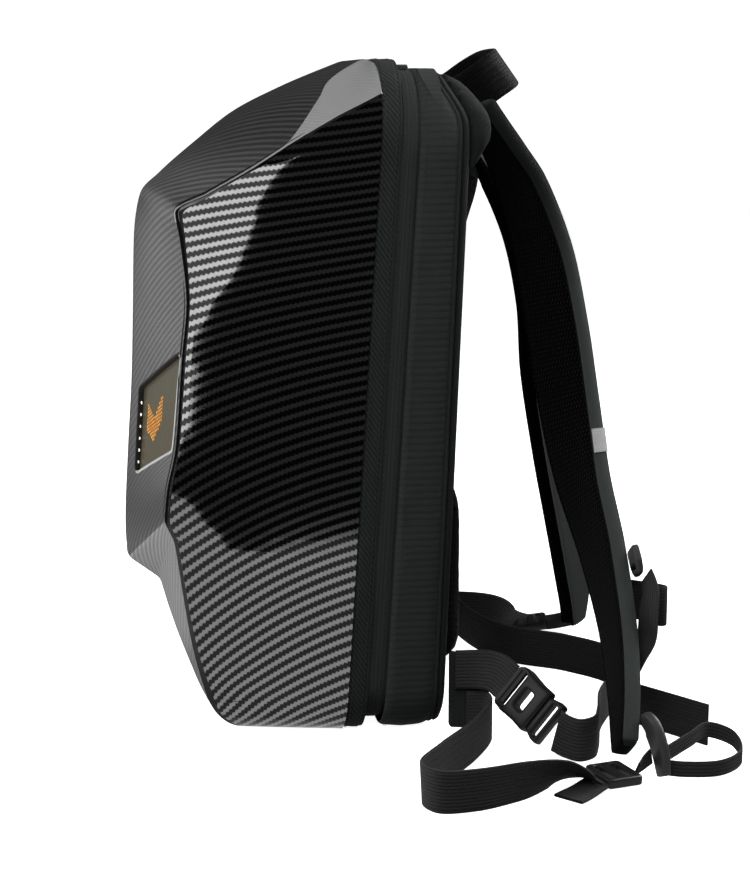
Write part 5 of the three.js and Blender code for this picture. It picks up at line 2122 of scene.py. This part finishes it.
@dataclass
class Studio:
    """Camera, floor, backdrop, cards and lights."""

    eye: Spot = (1.4590, -0.1469, 0.4479)
    aim: Spot = (0.0, 0.08419, 0.18744)
    lens: float = 80.97
    sky: float = 0.03
    card_middle: tuple[float, float] = (0.495, -0.429)
    card_along: tuple[float, float] = (0.766, 0.643)
    # Outline of the upright card along its line and up, in metres
    bright_card: tuple[tuple[float, float], ...] = (
        (-0.07, 0.75), (-0.055, 0.66), (-0.02, 0.55), (-0.004, 0.47), (-0.005, 0.451),
        (-0.01, 0.428), (-0.027, 0.403), (-0.05, 0.384), (-0.073, 0.374), (-0.102, 0.355),
        (-0.128, 0.318), (-0.142, 0.303), (-0.13, 0.277), (-0.122, 0.208), (-0.16, 0.146),
        (-0.205, 0.097), (-0.3, 0.08), (-0.6, 0.07), (-0.6, 0.75),
    )
    # Outline of the card on the floor, in metres
    gleam_card: tuple[tuple[float, float], ...] = (
        (0.05, -0.62), (0.2, -0.6), (0.282, -0.531), (0.295, -0.485), (0.3, -0.43), (0.33, -0.385),
        (0.412, -0.367), (0.534, -0.334), (0.642, -0.27), (0.75, -0.17), (0.824, -0.085),
        (0.9, 0.05), (0.9, 0.3), (0.05, 0.3),
    )

    def build(self) -> None:
        """Sets up the whole studio."""
        scene = bpy.context.scene
        scene.view_settings.view_transform = "Standard"
        data = bpy.data.cameras.new("camera")
        data.lens = self.lens
        data.sensor_width = 36.0
        data.clip_end = 50.0
        scene.camera = link("camera", data)
        look(scene.camera, self.eye, self.aim)
        world = bpy.data.worlds.new("studio")
        world.use_nodes = True
        light = world.node_tree.nodes["Background"].inputs
        light["Color"].default_value, light["Strength"].default_value = grey(1.0), self.sky
        scene.world = world
        self.room()
        self.light("key", (0.9, -1.0, 2.0), (0.0, 0.05, 0.2), 1.6, 26.0, False)
        self.light("fill", (1.05, 0.0, 1.15), (0.0, 0.1, 0.25), 1.0, 16.0, False)
        self.light("front", (-1.0, -1.4, 0.55), (0.0, 0.0, 0.25), 1.2, 9.0, True)
        self.light("high", (-0.5, -1.3, 1.7), (0.0, -0.1, 0.4), 0.8, 9.0, False)
        self.light("bounce", (0.12, -0.36, 0.012), (0.06, -0.2, 0.3), 0.4, 8.0, False)
        self.light("back", (-0.3, 1.7, 1.3), (0.0, 0.1, 0.25), 1.4, 50.0, True)
        for side, name in SIDES:
            self.cards(side, name)

    @staticmethod
    def plain(name: str, tone: float, glow: float) -> bpy.types.Material:
        """A plain studio surface."""
        kit = Shader(name)
        glare = {"Emission Strength": glow, "Emission Color": grey(1.0), "Specular IOR Level": 0.1}
        return kit.done(glare, base=grey(tone), roughness=0.8)

    def sheet(
        self,
        name: str,
        corners: Sequence[Sequence[float]],
        faces: Sequence[Sequence[int]],
        finish: bpy.types.Material,
        seen: tuple[bool, bool, bool, bool],
    ) -> None:
        """A stage sheet through given corners, in metres.

        Args:
            name: its name.
            corners: its corners.
            faces: its faces as numbers of corners.
            finish: its material.
            seen: whether the camera, matt surfaces, glossy surfaces and shadows take notice of it.
        """
        mesh = bpy.data.meshes.new(name)
        mesh.from_pydata([tuple(c) for c in corners], [], [tuple(f) for f in faces])
        mesh.materials.append(finish)
        obj = link(name, mesh)
        obj.visible_camera, obj.visible_diffuse, obj.visible_glossy, obj.visible_shadow = seen
        obj.visible_transmission = False

    def room(self) -> None:
        """Makes the pale floor and the white walls behind the bag."""
        r, top = 6.0, 7.0
        low = [(-r, -r, 0.0), (r, -r, 0.0), (r, r, 0.0), (-r, r, 0.0)]
        paper = self.plain("floor_paper", 0.8, 0.96)
        self.sheet("floor", low, [(0, 1, 2, 3)], paper, (True, False, False, True))
        high = [(x, y, top) for x, y, _ in low]
        walls = [(0, 4, 5, 1), (1, 5, 6, 2), (2, 6, 7, 3), (3, 7, 4, 0), (4, 7, 6, 5)]
        paper = self.plain("backdrop_paper", 0.8, 1.05)
        self.sheet("backdrop", low + high, walls, paper, (True, False, False, False))

    def cards(self, side: float, name: str) -> None:
        """Sets the bright card and the pale floor card that one glossy side panel mirrors."""
        c, a = np.array(self.card_middle), np.array(self.card_along)
        upright = [(side * x, y, h) for s, h in self.bright_card for x, y in [c + a * s]]
        flat = [(side * x, y, 0.0015) for x, y in self.gleam_card]
        for kind, spots, finish in (
            ("bright_card_", upright, self.plain("card_white", 0.0, 1.2)),
            ("floor_card_", flat, self.plain("card_pale", 0.0, 0.46)),
        ):
            self.sheet(kind + name, spots, [range(len(spots))], finish, (False, False, True, False))

    @staticmethod
    def light(name: str, at: Spot, aim: Spot, size: float, power: float, glossy: bool) -> None:
        """A square soft light.

        Args:
            name: its name.
            at: where it stands, in metres.
            aim: what it looks at.
            size: its side.
            power: its strength in watts.
            glossy: whether glossy surfaces mirror it.
        """
        data = bpy.data.lights.new(name, "AREA")
        data.shape = "SQUARE"
        data.size = size
        data.energy = power
        lamp = link(name, data)
        look(lamp, at, aim)
        lamp.visible_glossy = glossy
        lamp.visible_camera = False


def main() -> None:
    """Builds the backpack piece by piece and its studio."""
    logging.basicConfig(level=logging.INFO, format="%(name)s %(message)s")
    finishes = Finishes()
    Studio().build()
    Shell(finishes).build()
    SoftBody(finishes).build()
    Padding(finishes).build()
    Harness(finishes).build()
    Hardware(finishes).build()


if __name__ == "__main__":
    main()
